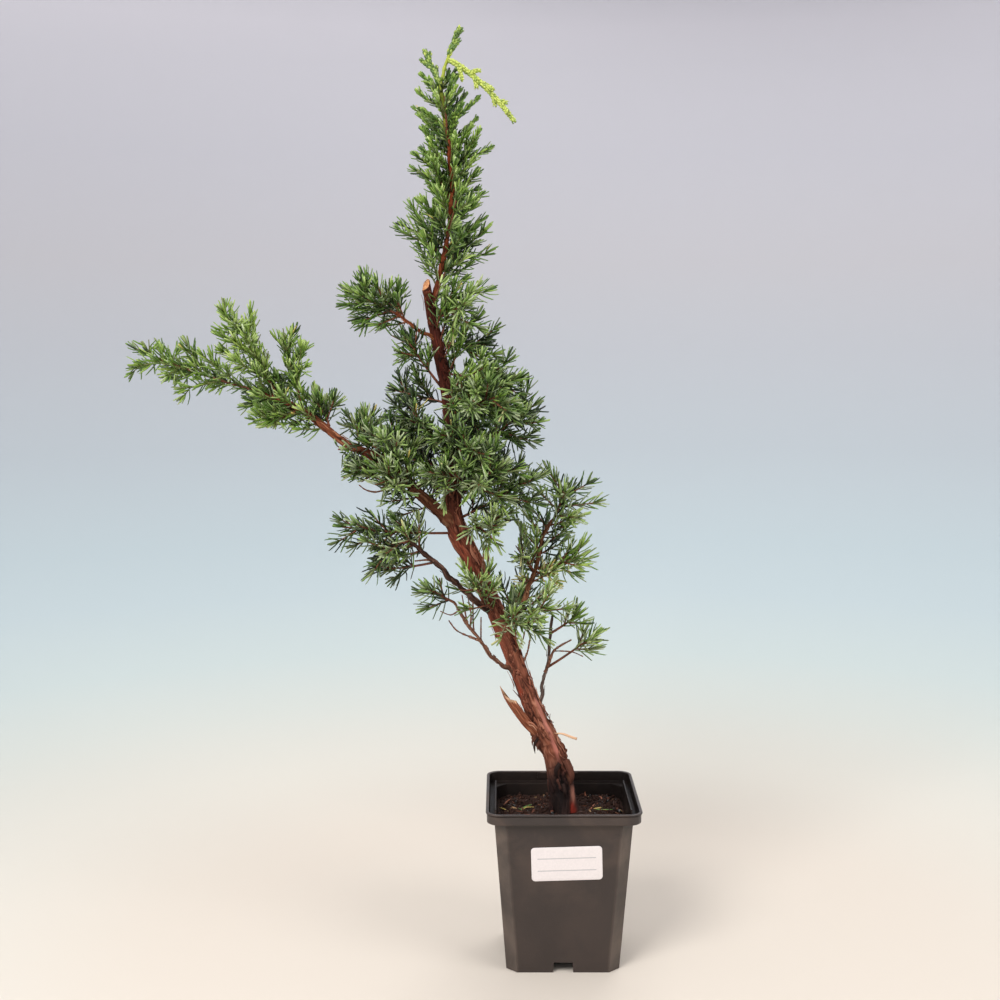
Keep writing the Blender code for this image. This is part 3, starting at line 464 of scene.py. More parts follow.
def first_outside(points, trunk):
    """The number of the first point of a limb's line that lies outside the trunk."""
    line, radius = trunk
    gaps = np.linalg.norm(points[:, None] - line[None], axis=2)
    nearest = gaps.argmin(axis=1)
    return int(np.argmax(gaps[np.arange(len(points)), nearest] > radius[nearest]))


def limb_lines():
    """Middle line and radius of the trunk and of each limb outside the trunk, as in the solids."""
    trunk = smooth_curve(TRUNK_PATH, TRUNK_RINGS)
    lines = {"trunk": (trunk, np.interp(lengths_along(trunk), *zip(*TRUNK_RADII)))}
    for limb in LIMBS:
        dense = smooth_curve(limb.path, 160)
        first = first_outside(dense, lines["trunk"])
        lines[limb.name] = (evenly(dense[first:], limb.rings), np.linspace(limb.foot, limb.tip, limb.rings))
    return lines


# Growth, the same rule and draws as in the solids


def shoot_axis(start, reach, bow):
    """A shoot's middle line: it leaves low and lifts towards its tip, or nods with a negative bow."""
    t = np.linspace(0.0, 1.0, AXIS_POINTS)[:, None]
    lift = np.array([0.0, 0.0, bow * np.linalg.norm(reach)])
    return start + (reach - lift) * t + lift * t**2


def grow(mass, seed, root):
    """The middle lines of a mass's shoots: the leading one, then the side shoots round it.

    Side shoot k leaves a share of the way up the leading shoot and is turned by the golden
    angle from the one before; lower ones are longer and spread wider.
    """
    chance = np.random.default_rng(seed)
    reach = np.array(mass.reach)
    length = np.linalg.norm(reach)
    lead = shoot_axis(root, reach * (1.0 - TIP_NEEDLE / length), mass.bow)
    tangent, side, top = frames(lead)
    axes = [lead]
    first = max(0.12, mass.bare / length)
    turn = chance.uniform(0.0, 2 * pi)
    for k in range(mass.shoots):
        share = first + (0.9 - first) * (k + 0.3 + 0.3 * chance.random()) / mass.shoots
        i = share * (AXIS_POINTS - 1)
        start = at_lengths(lead, np.arange(AXIS_POINTS), [i])[0]
        near = int(round(i))
        turn += GOLDEN_ANGLE + chance.uniform(-0.3, 0.3)
        spread = radians(mass.spread) * (1.15 - 0.35 * share)
        out = cos(turn) * side[near] + sin(turn) * top[near]
        size = mass.shoot_length * (1.15 - 0.55 * share) * chance.uniform(0.88, 1.12)
        way = cos(spread) * tangent[near] + sin(spread) * out
        axes.append(shoot_axis(start, size * way, mass.bow))
    return axes


def column_masses():
    """The masses that ring the leader, each turned by the golden angle from the one below."""
    masses = []
    for k in range(COLUMN_MASSES):
        share = k / (COLUMN_MASSES - 1)
        turn = COLUMN_TURN + k * GOLDEN_ANGLE
        slim = 1.0 - COLUMN_TAPER * share
        reach = (COLUMN_OUT * slim * cos(turn), COLUMN_OUT * slim * sin(turn), COLUMN_UP)
        at = COLUMN_LOWEST + (COLUMN_HIGHEST - COLUMN_LOWEST) * share
        masses.append(Mass(f"column_{k + 1}", "top", "leader", at, reach, COLUMN_SHOOTS,
                           COLUMN_SHOOT_LENGTH * slim, COLUMN_BARE, COLUMN_SPREAD))
    return masses


def dressed_masses(dress):
    """The masses of a dress with their seeds, which count them as in the solids, tufts last."""
    masses = (*MASSES, *column_masses(), *TUFTS)
    return [(mass, seed) for seed, mass in enumerate(masses, start=1) if mass.dress == dress]


def stem_root(mass, lines):
    """Where a mass's stem meets its limb: at its tip, or on its side facing the reach."""
    line, radius = lines[mass.limb]
    reach = unit(np.array(mass.reach))
    point, index = at_share(line, mass.at)
    tangent = unit(np.gradient(line, axis=0))[index]
    if mass.at > 0.95 and reach @ tangent > 0.3:
        return line[-1]
    across = reach - (reach @ tangent) * tangent
    return point + 0.8 * radius[index] * unit(across)


def finer_shoots(axes, bare, fine, chance):
    """Shoots on the shoots: every few millimetres, turned by the golden angle, shorter towards each tip."""
    made = []
    if fine == 0:
        return made
    for number, axis in enumerate(axes):
        along = lengths_along(axis)
        total = along[-1]
        tangent, side, top = frames(axis)
        place = max(bare if number == 0 else 0.0, FINE_FIRST * total)
        turn = chance.uniform(0.0, 2 * pi)
        while place < FINE_LAST * total:
            share = place / total
            i = int(round(share * (len(axis) - 1)))
            start = at_lengths(axis, along, np.array([place]))[0]
            turn += GOLDEN_ANGLE + chance.uniform(-0.4, 0.4)
            spread = radians(FINE_SPREAD) * chance.uniform(0.8, 1.15)
            size = min(fine, 0.75 * total) * (1.15 - 0.65 * share) * chance.uniform(0.7, 1.15)
            way = cos(spread) * tangent[i] + sin(spread) * (cos(turn) * side[i] + sin(turn) * top[i])
            made.append(shoot_axis(start, size * way, LIFT))
            place += FINE_STEP * chance.uniform(0.75, 1.3)
    return made


def shoots_from(line, radius, first, last, count, start_length, end_length, spread, way, half, chance):
    """Shoots that leave a limb straight between two shares of its length, spread over a range of turns."""
    tangent, side, top = frames(line)
    made = []
    phase = chance.random()
    for k in range(count):
        part = (k + chance.uniform(0.2, 0.8)) / count
        start, i = at_share(line, first + (last - first) * part)
        place = 2 * ((k * GOLDEN_ANGLE / (2 * pi) + phase) % 1) - 1
        turn = radians(way + half * place) + chance.uniform(-0.2, 0.2)
        angle = radians(spread) * chance.uniform(0.8, 1.15)
        out = unit(cos(turn) * side[i] + FLATTEN * sin(turn) * top[i])
        size = (start_length + (end_length - start_length) * part) * chance.uniform(0.8, 1.15)
        lean = cos(angle) * tangent[i] + sin(angle) * out
        made.append(shoot_axis(start + 0.7 * radius[i] * out, size * lean, LIFT))
    return made


class Hindrance:
    """The limbs as rows of balls, to keep shoots and needles out of the wood."""

    def __init__(self, lines):
        centres = []
        radii = []
        for line, radius in lines.values():
            count = max(2, int(lengths_along(line)[-1] / 0.0025))
            dense = evenly(line, count)
            centres.append(dense)
            radii.append(np.interp(np.linspace(0, 1, count), np.linspace(0, 1, len(radius)), radius))
        self.centres = np.vstack(centres)
        self.radii = np.concatenate(radii)

    def inside(self, points, margin):
        """Whether each point lies in the wood, or within the margin round it."""
        hit = np.zeros(len(points), bool)
        for first in range(0, len(points), 4000):
            part = points[first:first + 4000]
            gap = np.linalg.norm(part[:, None] - self.centres[None], axis=2) - self.radii
            hit[first:first + 4000] = gap.min(axis=1) < margin
        return hit


def trimmed(axes, hindrance, shortest):
    """The axes cut off where they would run into the wood; those left too short are dropped."""
    if not axes:
        return []
    points = np.array(axes)
    flat = points.reshape(-1, 3)
    hit = (hindrance.inside(flat, SHOOT_MARGIN) | in_clearings(flat)).reshape(len(axes), -1)
    hit[:, :3] = False
    kept = []
    for axis, blocked in zip(axes, hit):
        end = int(np.argmax(blocked)) if blocked.any() else len(axis)
        length = lengths_along(axis[:end])[-1]
        if length >= shortest:
            kept.append(evenly(axis[:end], AXIS_POINTS))
    return kept


# Meshes


class Heap:
    """Vertices, faces and face materials collected for one piece."""

    def __init__(self):
        self.vertices = []
        self.faces = []
        self.kinds = []
        self.count = 0

    def add(self, vertices, faces, kind=0):
        """Add an array of vertices and an array of triangles or quads, with one material or one per face."""
        faces = np.asarray(faces)
        self.vertices.append(np.asarray(vertices, float).reshape(-1, 3))
        self.faces.append(faces + self.count)
        self.kinds.append(np.full(len(faces), kind) if np.isscalar(kind) else np.asarray(kind))
        self.count += len(self.vertices[-1])

    def add_closed(self, rings, middles, last_kind=0, outward=True):
        """Add a row of rings as a closed shape, with a fan from each end's ring to its middle point."""
        body, first, last = closed_faces(*rings.shape[:2], outward)
        start = self.count
        self.add(np.vstack([rings.reshape(-1, 3), middles]), body)
        for faces, kind in ((first, 0), (last, last_kind)):
            self.faces.append(faces + start)
            self.kinds.append(np.full(len(faces), kind))

    def triangles(self):
        """How many triangles the faces make: corners less two for each."""
        return sum(len(f) * (f.shape[1] - 2) for f in self.faces)

    def piece(self, name, materials, smooth=False):
        """The collected shape as one object that rides on the plant's body."""
        if self.triangles() > PIECE_LIMIT:
            raise RuntimeError(f"{name} has {self.triangles()} triangles")
        mesh = bpy.data.meshes.new(name)
        vertices = np.vstack(self.vertices)
        corners = np.concatenate([f.ravel() for f in self.faces])
        sizes = np.concatenate([np.full(len(f), f.shape[1]) for f in self.faces])
        mesh.vertices.add(len(vertices))
        mesh.vertices.foreach_set("co", vertices.ravel())
        mesh.loops.add(len(corners))
        mesh.loops.foreach_set("vertex_index", corners.astype(np.int32))
        mesh.polygons.add(len(sizes))
        mesh.polygons.foreach_set("loop_start", np.concatenate(([0], np.cumsum(sizes)[:-1])).astype(np.int32))
        mesh.polygons.foreach_set("loop_total", sizes.astype(np.int32))
        for material in materials:
            mesh.materials.append(material)
        mesh.polygons.foreach_set("material_index", np.concatenate(self.kinds).astype(np.int32))
        mesh.update(calc_edges=True)
        if smooth:
            mesh.shade_smooth()
        return add_piece(name, mesh)


def linked(name, data):
    """A new object of the scene that holds the data."""
    made = bpy.data.objects.new(name, data)
    bpy.context.scene.collection.objects.link(made)
    return made


def add_piece(name, mesh):
    """Link a finished mesh as a piece of the plant."""
    piece = linked(name, mesh)
    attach(piece, BODY)
    return piece


def new_mesh(name, vertices, faces):
    """A mesh of the given corners and faces."""
    mesh = bpy.data.meshes.new(name)
    mesh.from_pydata(vertices, [], faces)
    return mesh


def grid_faces(rows, columns, around=True):
    """Quads of a grid of rows by columns of points; around joins each row's ends."""
    i = np.arange(rows - 1)[:, None]
    j = np.arange(columns if around else columns - 1)[None]
    k = (j + 1) % columns
    quads = np.stack([i * columns + j, i * columns + k,
                      (i + 1) * columns + k, (i + 1) * columns + j], axis=-1)
    return quads.reshape(-1, 4)


def fan_faces(ring, centre, flip):
    """Triangles from a ring of vertex numbers to one centre vertex."""
    ring = np.asarray(ring)
    after = np.roll(ring, -1)
    middle = np.full(len(ring), centre)
    return np.stack([after, ring, middle] if flip else [ring, after, middle], axis=1)


def closed_faces(rows, around, outward=True):
    """Quads of a row of rings, and the fans that close its ends on two middle points after the rings."""
    count = rows * around
    quads = grid_faces(rows, around)
    return (quads if outward else quads[:, ::-1], fan_faces(np.arange(around), count, outward),
            fan_faces(count - around + np.arange(around), count + 1, not outward))


def tubes(lines, radii, sides):
    """Closed tubes along many lines at once: a ring of corners round each point, and a tip at each end.

    lines is (tubes, points, 3) and radii (tubes, points); a ring's corners stand at
    point + radius * spokes.
    """
    count, points, _ = lines.shape
    tangent, side, top = frames(lines)
    turn = 2 * pi * np.arange(sides) / sides
    ring = lines[:, :, None] + radii[..., None, None] * spokes(turn, side[:, :, None], top[:, :, None])
    ends = np.stack([lines[:, 0] - 0.3 * radii[:, :1] * tangent[:, 0],
                     lines[:, -1] + 0.8 * radii[:, -1:] * tangent[:, -1]], axis=1)
    vertices = np.concatenate([ring.reshape(count, -1, 3), ends], axis=1)
    body, first, last = closed_faces(points, sides)
    pattern = np.concatenate([body[:, [0, 1, 2]], body[:, [0, 2, 3]], first, last])
    faces = pattern[None] + (np.arange(count) * vertices.shape[1])[:, None, None]
    return vertices.reshape(-1, 3), faces.reshape(-1, 3)


# Noise for relief


def lattice_noise(across, along, columns, seed):
    """Smooth noise from -1 to 1: random heights on a lattice that repeats every so many columns."""
    rows = int(np.ceil(along.max())) + 3
    heights = np.random.default_rng(seed).uniform(-1.0, 1.0, (rows, columns))
    i = np.floor(along).astype(int)
    j = np.floor(across).astype(int)
    f = along - i
    g = across - j
    f = f * f * (3 - 2 * f)
    g = g * g * (3 - 2 * g)
    j0, j1 = j % columns, (j + 1) % columns
    i0, i1 = np.clip(i, 0, rows - 1), np.clip(i + 1, 0, rows - 1)
    low = heights[i0, j0] * (1 - g) + heights[i0, j1] * g
    high = heights[i1, j0] * (1 - g) + heights[i1, j1] * g
    return low * (1 - f) + high * f


def bark_plates(across, along, columns, seed):
    """Long plates that lift towards one end: each column has its own cuts, each plate its own lift."""
    chance = np.random.default_rng(seed)
    rows = int(np.ceil(along.max())) + 4
    lift = chance.uniform(0.0, 1.0, (rows, columns)) ** 1.3
    flip = chance.random((rows, columns)) < 0.4
    shift = chance.uniform(0.0, 1.0, columns)
    j = np.floor(across).astype(int) % columns
    place = np.clip(along, 0, None) + shift[j]
    i = np.floor(place).astype(int)
    part = place - i
    part = np.where(flip[i, j], 1 - part, part)
    edge = across - np.floor(across)
    border = np.clip(np.minimum(edge, 1 - edge) / 0.13, 0, 1)
    ends = np.clip((1 - part) / 0.05, 0, 1)
    return lift[i, j] * (0.25 + 0.75 * part) * border * ends


def bark_skin(turn, along, girth, seed):
    """Height and streak of fibrous peeling bark, each about -1 to 1.

    turn is the share of the way round and along the length up the limb. Both wander, so that no
    fibre is straight: across = columns * turn + slant * along + wander. Height adds lifted plates,
    furrows where slow fibres change sign, fine fibres and lumps, less its mean.
    """
    columns = max(4, int(round(girth / PLATE_WIDTH)))
    wander = (1.1 * lattice_noise(5 * turn, along / 0.034, 5, seed)
              + 0.45 * lattice_noise(9 * turn, along / 0.012, 9, seed + 1))
    across = (columns * turn + BARK_SLANT * along + wander) % columns
    up = along + 0.003 * (1 + lattice_noise(7 * turn, along / 0.011, 7, seed + 2))
    plates = bark_plates(across, up / 0.019, columns, seed + 3)
    fibres = lattice_noise(3 * across, up / 0.01, 3 * columns, seed + 4)
    fine = lattice_noise(7 * across, up / 0.0038, 7 * columns, seed + 5)
    lumps = lattice_noise(4 * turn, along / 0.013, 4, seed + 6)
    flakes = np.clip(lattice_noise(5 * turn, along / 0.0042, 5, seed + 7) - 0.5, 0, 1)
    furrows = -np.clip(0.28 - np.abs(fibres), 0, 1) * 2.4
    height = 1.1 * plates + 0.7 * furrows + 0.28 * fibres + 0.3 * fine + 0.28 * lumps + 0.9 * flakes
    streak = 0.6 * lattice_noise(6 * across, up / 0.007, 6 * columns, seed + 8) + 0.6 * fine + 0.4 * fibres
    streak = streak + 0.8 * lattice_noise(3 * turn, along / 0.024, 3, seed + 9)
    return height - height.mean(), streak


# Materials


def new_material(name, colour, roughness, **inputs):
    """A Principled material; further inputs are set on the shader's own sockets."""
    material = bpy.data.materials.new(name)
    material.use_nodes = True
    shader = material.node_tree.nodes["Principled BSDF"]
    shader.inputs["Base Color"].default_value = (*colour, 1.0)
    shader.inputs["Roughness"].default_value = roughness
    for socket, value in inputs.items():
        shader.inputs[socket.replace("_", " ")].default_value = value
    return material


class Wiring:
    """Short ways to add and join a material's nodes."""

    def __init__(self, material):
        self.tree = material.node_tree
        self.shader = self.tree.nodes["Principled BSDF"]

    def feed(self, socket, value):
        """Join another node's socket to this one, or set this one to a plain value or colour."""
        if isinstance(value, bpy.types.NodeSocket):
            self.tree.links.new(value, socket)
        else:
            socket.default_value = (*value, 1.0) if socket.type == "RGBA" else value

    def finish(self, name, value):
        """Feed one of the shader's own sockets."""
        self.feed(self.shader.inputs[name], value)

    def node(self, kind, inputs=None, **values):
        """A new node with the given settings, its inputs fed by name or number."""
        made = self.tree.nodes.new("ShaderNode" + kind)
        for key, value in values.items():
            setattr(made, key, value)
        for key, value in (inputs or {}).items():
            self.feed(made.inputs[key], value)
        return made

    def object_place(self, scale=(1, 1, 1)):
        """Object coordinates, scaled."""
        return self.mapped(self.node("TexCoord").outputs["Object"], scale)

    def mapped(self, source, scale):
        """A place, times the scale along each axis."""
        return self.node("Mapping", {"Scale": scale, "Vector": source}).outputs["Vector"]

    def noise(self, place, scale, detail=4.0, roughness=0.55, distortion=0.0):
        """Smooth noise from 0 to 1; a larger scale is finer."""
        return self.node("TexNoise", {"Scale": scale, "Detail": detail, "Roughness": roughness,
                                      "Distortion": distortion, "Vector": place}).outputs["Fac"]

    def ramp(self, factor, *stops):
        """A colour ramp with (position, colour) stops."""
        made = self.node("ValToRGB", {"Fac": factor})
        elements = made.color_ramp.elements
        while len(elements) < len(stops):
            elements.new(0.5)
        for element, (position, colour) in zip(elements, stops):
            element.position = position
            element.color = (*colour, 1.0)
        return made.outputs["Color"]

    def grade(self, factor, low, high, out_low=0.0, out_high=1.0):
        """The factor stretched from one range to another, and clamped."""
        return self.node("MapRange",
                         {"From Min": low, "From Max": high, "To Min": out_low, "To Max": out_high,
                          "Value": factor}).outputs["Result"]

    def mix(self, factor, first, second):
        """Two colours mixed; each may be a socket or a plain colour."""
        return self.node("Mix", {0: factor, 6: first, 7: second}, data_type="RGBA").outputs[2]

    def maths(self, operation, first, second=0.0):
        """One step of arithmetic on sockets or numbers."""
        return self.node("Math", {0: first, 1: second}, operation=operation).outputs["Value"]

    def times(self, first, second):
        """The first times the second."""
        return self.maths("MULTIPLY", first, second)

    def bump(self, height, distance, strength=1.0):
        """Tilt the surface as if it rose by height times distance."""
        made = self.node("Bump", {"Strength": strength, "Distance": distance, "Height": height})
        self.finish("Normal", made.outputs["Normal"])


def speckled(name, colour, other, scale, roughness, bump=0.0, **inputs):
    """A colour that drifts towards another in soft specks."""
    material = new_material(name, linear(colour), roughness, **inputs)
    w = Wiring(material)
    specks = w.noise(w.object_place(), scale)
    w.finish("Base Color", w.mix(w.grade(specks, 0.4, 0.65), linear(colour), linear(other)))
    if bump:
        w.bump(specks, bump)
    return material


def pot_material(name, settings, share):
    """Satin plastic: brown dust in its grain, a painted highlight on the cut corners, faint scuffs, a fine
    mould texture.

    A cut corner is where |x| + |y| - slope * z is largest; share darkens every colour, as painted shade
    inside.
    """
    plastic, dust_colour, scuff = (tuple(share * c for c in colour)
                                   for colour in (settings.plastic, settings.dust, settings.scuff))
    material = new_material(name, plastic, 0.42, Specular_IOR_Level=0.42 * share)
    w = Wiring(material)
    cloud = w.noise(w.object_place(), 26.0, 4.0, 0.6, 0.4)
    specks = w.noise(w.object_place(), 900.0, 2.0, 0.5)
    scuffs = w.noise(w.object_place((1.0, 1.0, 3.0)), 160.0, 5.0, 0.7, 1.2)
    x, y, z = w.node("SeparateXYZ", {"Vector": w.object_place()}).outputs
    upper = w.grade(z, 0.045, 0.112)
    dust = w.times(w.grade(cloud, 0.44, 0.72), w.grade(upper, 0.0, 1.0, 0.25, 1.0))
    corner = w.maths("SUBTRACT", w.maths("ADD", w.maths("ABSOLUTE", x), w.maths("ABSOLUTE", y)),
                     w.times(z, 0.15))
    # Painted highlight: the cut corners below the band drift towards the scuff colour.
    corner_highlight = w.times(w.grade(corner, 0.0715, 0.0735), w.grade(z, 0.106, 0.111, 1.0, 0.0))
    body = w.mix(dust, plastic, dust_colour)
    body = w.mix(w.times(corner_highlight, w.grade(cloud, 0.36, 0.6, 0.06, 0.34)), body, scuff)
    marks = w.times(w.grade(scuffs, 0.66, 0.74), w.grade(specks, 0.55, 0.7, 0.0, 0.35))
    w.finish("Base Color", w.mix(marks, body, scuff))
    w.finish("Roughness", w.grade(cloud, 0.3, 0.7, 0.36, 0.52))
    w.bump(w.maths("ADD", w.times(specks, 0.4), scuffs), 0.00012, 0.6)
    return material


# Settings


def colour_setting(name, description, colour):
    """A colour that the user can change, given as sRGB out of 255."""
    return FloatVectorProperty(name=name, description=description, subtype="COLOR", size=3, min=0.0, max=1.0,
                               default=linear(colour))


def length_setting(name, description, least, most, default):
    """A length that the user can change, in metres."""
    return FloatProperty(name=name, description=description, unit="LENGTH", min=least, max=most,
                         default=default)


class PotSettings(bpy.types.PropertyGroup):
    """Sizes and colours of the pot."""

    plastic: colour_setting("Plastic", "Colour of the moulded plastic", (52, 43, 39))
    dust: colour_setting("Dust", "Colour of the dust in its grain", (80, 64, 55))
    scuff: colour_setting("Scuffs", "Colour of the scuffs", (124, 108, 96))
    fillet: length_setting("Fillet", "Radius of the softened edges", 0.0001, 0.002, 0.0006)


class BarkSettings(bpy.types.PropertyGroup):
    """Relief and peeling of the bark."""

    depth: length_setting("Relief", "Depth of the bark's relief", 0.0, 0.002, 0.001)
    strips: IntProperty(name="Strips", description="Number of peeling strips on the trunk", min=0, max=600,
                        default=300)


class FoliageSettings(bpy.types.PropertyGroup):
    """Sizes of the needles."""

    width: length_setting("Needle width", "Width of a needle at its widest", 0.0004, 0.003, 0.00148)


class SoilSettings(bpy.types.PropertyGroup):
    """Roughness of the potting soil."""

    heap: length_setting("Heap", "Height of the soil's unevenness", 0.0, 0.006, 0.0022)
    crumbs: IntProperty(name="Crumbs", description="Number of loose crumbs", min=0, max=6000, default=2300)


class StageSettings(bpy.types.PropertyGroup):
    """Light and backdrop."""

    key: FloatProperty(name="Key light", description="Power of the large light", unit="POWER", min=0.0,
                       default=36.0)
    air: FloatProperty(name="Ambient", description="Strength of the light from all round", min=0.0,
                       default=0.54)


# Stage


# Colours of the paper by its rise, which is its height and a tenth of its distance from the pot: a warm
# floor that turns cool behind the plant
BACKDROP = ((0.03, (218, 207, 193)), (0.052, (219, 214, 202)), (0.085, (208, 211, 203)),
            (0.13, (197, 207, 204)), (0.2, (188, 200, 202)), (0.27, (183, 195, 198)),
            (0.42, (179, 186, 190)), (0.6, (181, 183, 187)), (0.77, (186, 184, 187)),
            (1.0, (191, 189, 194)), (1.2, (200, 197, 202)), (1.28, (206, 202, 207)))
RISE_TOP = 1.4
SWEEP_FLAT = 0.55
SWEEP_RADIUS = 2.1
SWEEP_CURVE = 1.5
SWEEP_TOP = 2.6
# The lamps: name, place, size, power as a share of the key light's, and the point that they face
LAMPS = (("key", (-0.9, -1.4, 1.6), 0.9, 1.0), ("fill", (1.3, -1.0, 1.2), 1.0, 0.35),
         ("back", (0.3, 1.2, 1.8), 1.2, 0.4))
LAMP_AIM = (-0.06, 0.0, 0.33)


def sweep_profile(count):
    """Half profile of the backdrop: flat floor, a quarter ellipse, and an upright wall, with its length."""
    flat = np.stack([np.linspace(0.0, SWEEP_FLAT, 8), np.zeros(8)], axis=1)
    a = np.linspace(0.0, pi / 2, count)[1:]
    bend = np.stack([SWEEP_FLAT + (SWEEP_RADIUS - SWEEP_FLAT) * np.sin(a),
                     SWEEP_CURVE * (1 - np.cos(a))], axis=1)
    wall = np.array([[SWEEP_RADIUS, SWEEP_TOP]])
    return np.vstack([flat, bend, wall])


def make_sweep():
    """The backdrop: the profile turned about the upright through the pot, seen from inside."""
    profile = sweep_profile(30)[1:]
    turns = 96
    rings = level_ring(profile[:, :1], 2 * pi * np.arange(turns) / turns, profile[:, 1:])
    vertices = np.vstack([rings.reshape(-1, 3), [[0.0, 0.0, 0.0]]])
    quads = grid_faces(len(profile), turns)[:, ::-1]
    disc = fan_faces(np.arange(turns), len(vertices) - 1, False)
    mesh = new_mesh("backdrop", vertices.tolist(), quads.tolist() + disc.tolist())
    mesh.shade_smooth()
    material = new_material("backdrop_paper", linear((240, 230, 216)), 0.9)
    w = Wiring(material)
    height = w.node("SeparateXYZ", {"Vector": w.object_place()}).outputs["Z"]
    away = w.node("VectorMath", {0: w.object_place((0.1, 0.1, 0.0))}, operation="LENGTH").outputs["Value"]
    rise = w.grade(w.maths("ADD", height, away), 0.0, RISE_TOP)
    w.finish("Base Color", w.ramp(rise, *((place / RISE_TOP, linear(colour)) for place, colour in BACKDROP)))
    mesh.materials.append(material)
    linked("backdrop", mesh)


def make_lights(settings):
    """A large soft light above and in front, a weaker one from the right, and even light all round."""
    for name, place, size, share in LAMPS:
        lamp = bpy.data.lights.new(name, "AREA")
        lamp.size = size
        lamp.energy = share * settings.key
        light = linked(name, lamp)
        light.location = place
        light.rotation_mode = "QUATERNION"
        light.rotation_quaternion = (Vector(place) - Vector(LAMP_AIM)).to_track_quat("Z", "Y")
    world = bpy.data.worlds.new("air")
    world.use_nodes = True
    background = world.node_tree.nodes["Background"]
    background.inputs["Color"].default_value = (*linear((236, 240, 246)), 1.0)
    background.inputs["Strength"].default_value = settings.air
    bpy.context.scene.world = world


def make_camera():
    """The photograph's camera."""
    camera = bpy.data.cameras.new("camera")
    camera.lens = CAMERA_LENS
    camera.sensor_width = SENSOR_WIDTH
    holder = linked("camera", camera)
    holder.location = CAMERA_PLACE
    holder.rotation_euler = (pi / 2 - CAMERA_PITCH, 0.0, 0.0)
    bpy.context.scene.camera = holder


class JUNIPER_OT_stage(bpy.types.Operator):
    """Set up the camera, the light and the pale backdrop"""

    bl_idname = "juniper.stage"
    bl_label = "Stage"

    def execute(self, context):
        context.scene.view_settings.view_transform = "Standard"
        make_camera()
        make_lights(context.scene.juniper_stage)
        make_sweep()
        return {"FINISHED"}


# Pot


def square_outline(half, corner, round_share, columns):
    """A level square outline, counter-clockwise, with its corners cut straight or rounded.

    A cut corner is a straight chamfer whose two edges are softened; a rounded one is a quarter
    circle. round_share blends the two. Each side has the same number of columns.
    """
    t = np.linspace(0.0, 1.0, 12)
    arc = corner * np.stack([np.cos(t * pi / 2), np.sin(t * pi / 2)], axis=1)
    soft = np.clip((t - 0.04) / 0.92, 0, 1)
    cut = corner * np.stack([1 - soft, soft], axis=1)
    bend = (1 - round_share) * cut + round_share * arc
    edge = np.linspace(-(half - corner), half - corner, columns + 2)[1:-1]
    quarter = np.vstack([np.stack([np.full(columns, half), edge], axis=1), bend + (half - corner)])
    points = []
    for turn in range(4):
        c, s = round(cos(turn * pi / 2)), round(sin(turn * pi / 2))
        points.append(quarter @ np.array([[c, s], [-s, c]]))
    return np.vstack(points)


def half_at(height):
    """Half the pot's outer width at a height on its sloping wall."""
    return FOOT_HALF + (NECK_HALF - FOOT_HALF) * height / BAND_FOOT


def corner_at(height):
    """The cut corner's size at a height on the sloping wall."""
    return FOOT_CORNER + (NECK_CORNER - FOOT_CORNER) * height / BAND_FOOT


def pot_profile(fillet):
    """The pot's section from the middle of its underside round to the middle of its floor.

    Each row is half width, corner size, height, and how round the corner is.
    """
    f = fillet
    lip = POT_TOP - LIP_HEIGHT
    rows = [(half_at(0) - 0.012, 0.002, 0.0, 0), (half_at(0) - f, FOOT_CORNER, 0.0, 0)]
    rows += [(half_at(0) - f * (1 - sin(a)), FOOT_CORNER, f * (1 - cos(a)), 0)
             for a in np.linspace(0.3, pi / 2, 4)]
    for z in np.linspace(0.004, BAND_FOOT - 0.0016, 14):
        rows.append((half_at(z), corner_at(z), z, 0))
    rows += [(NECK_HALF + f * (1 - cos(a)), NECK_CORNER, BAND_FOOT - f * (1 - sin(a)), 0.0)
             for a in np.linspace(0.2, pi / 2, 4)]
    rows += [(BAND_HALF - f * (1 - sin(a)), BAND_CORNER, BAND_FOOT + f * (1 - cos(a)), 1)
             for a in np.linspace(0.0, pi / 2, 4)]
    rows += [(BAND_HALF, BAND_CORNER, z, 1) for z in np.linspace(BAND_FOOT + 2 * f, lip - f, 4)]
    rows += [(BAND_HALF + 0.6 * (POT_HALF - BAND_HALF), BAND_CORNER, lip - 0.3 * f, 1)]
    bead = 0.5 * LIP_HEIGHT
    rows += [(POT_HALF - bead + bead * cos(a), BAND_CORNER, lip + bead + bead * sin(a), 1)
             for a in np.linspace(-pi / 2, pi / 2, 8)]
    inner = BAND_HALF - WALL
    rows += [(inner + f * (1 - sin(a)), BAND_CORNER - WALL, POT_TOP - f * (1 - cos(a)), 1)
             for a in np.linspace(0.0, pi / 2, 4)]
    rows += [(inner, BAND_CORNER - WALL, LEDGE + f, 1), (inner - f, BAND_CORNER - WALL, LEDGE, 1)]
    wall = half_at(LEDGE) - WALL
    rows += [(wall + f, NECK_CORNER, LEDGE, 0), (wall, NECK_CORNER, LEDGE - f, 0)]
    rows += [(half_at(z) - WALL, corner_at(z) - 0.4 * WALL, z, 0)
             for z in np.linspace(LEDGE - 0.004, FLOOR + f, 6)]
    rows += [(half_at(0) - WALL - f, FOOT_CORNER, FLOOR, 0)]
    return rows


def shell_rings(rows, columns):
    """The profile's rows, each carried round the pot as a level ring."""
    rings = []
    for half, corner, height, round_share in rows:
        outline = square_outline(half, min(corner, 0.9 * half), round_share, columns)
        rings.append(np.column_stack([outline, np.full(len(outline), height)]))
    return np.array(rings)


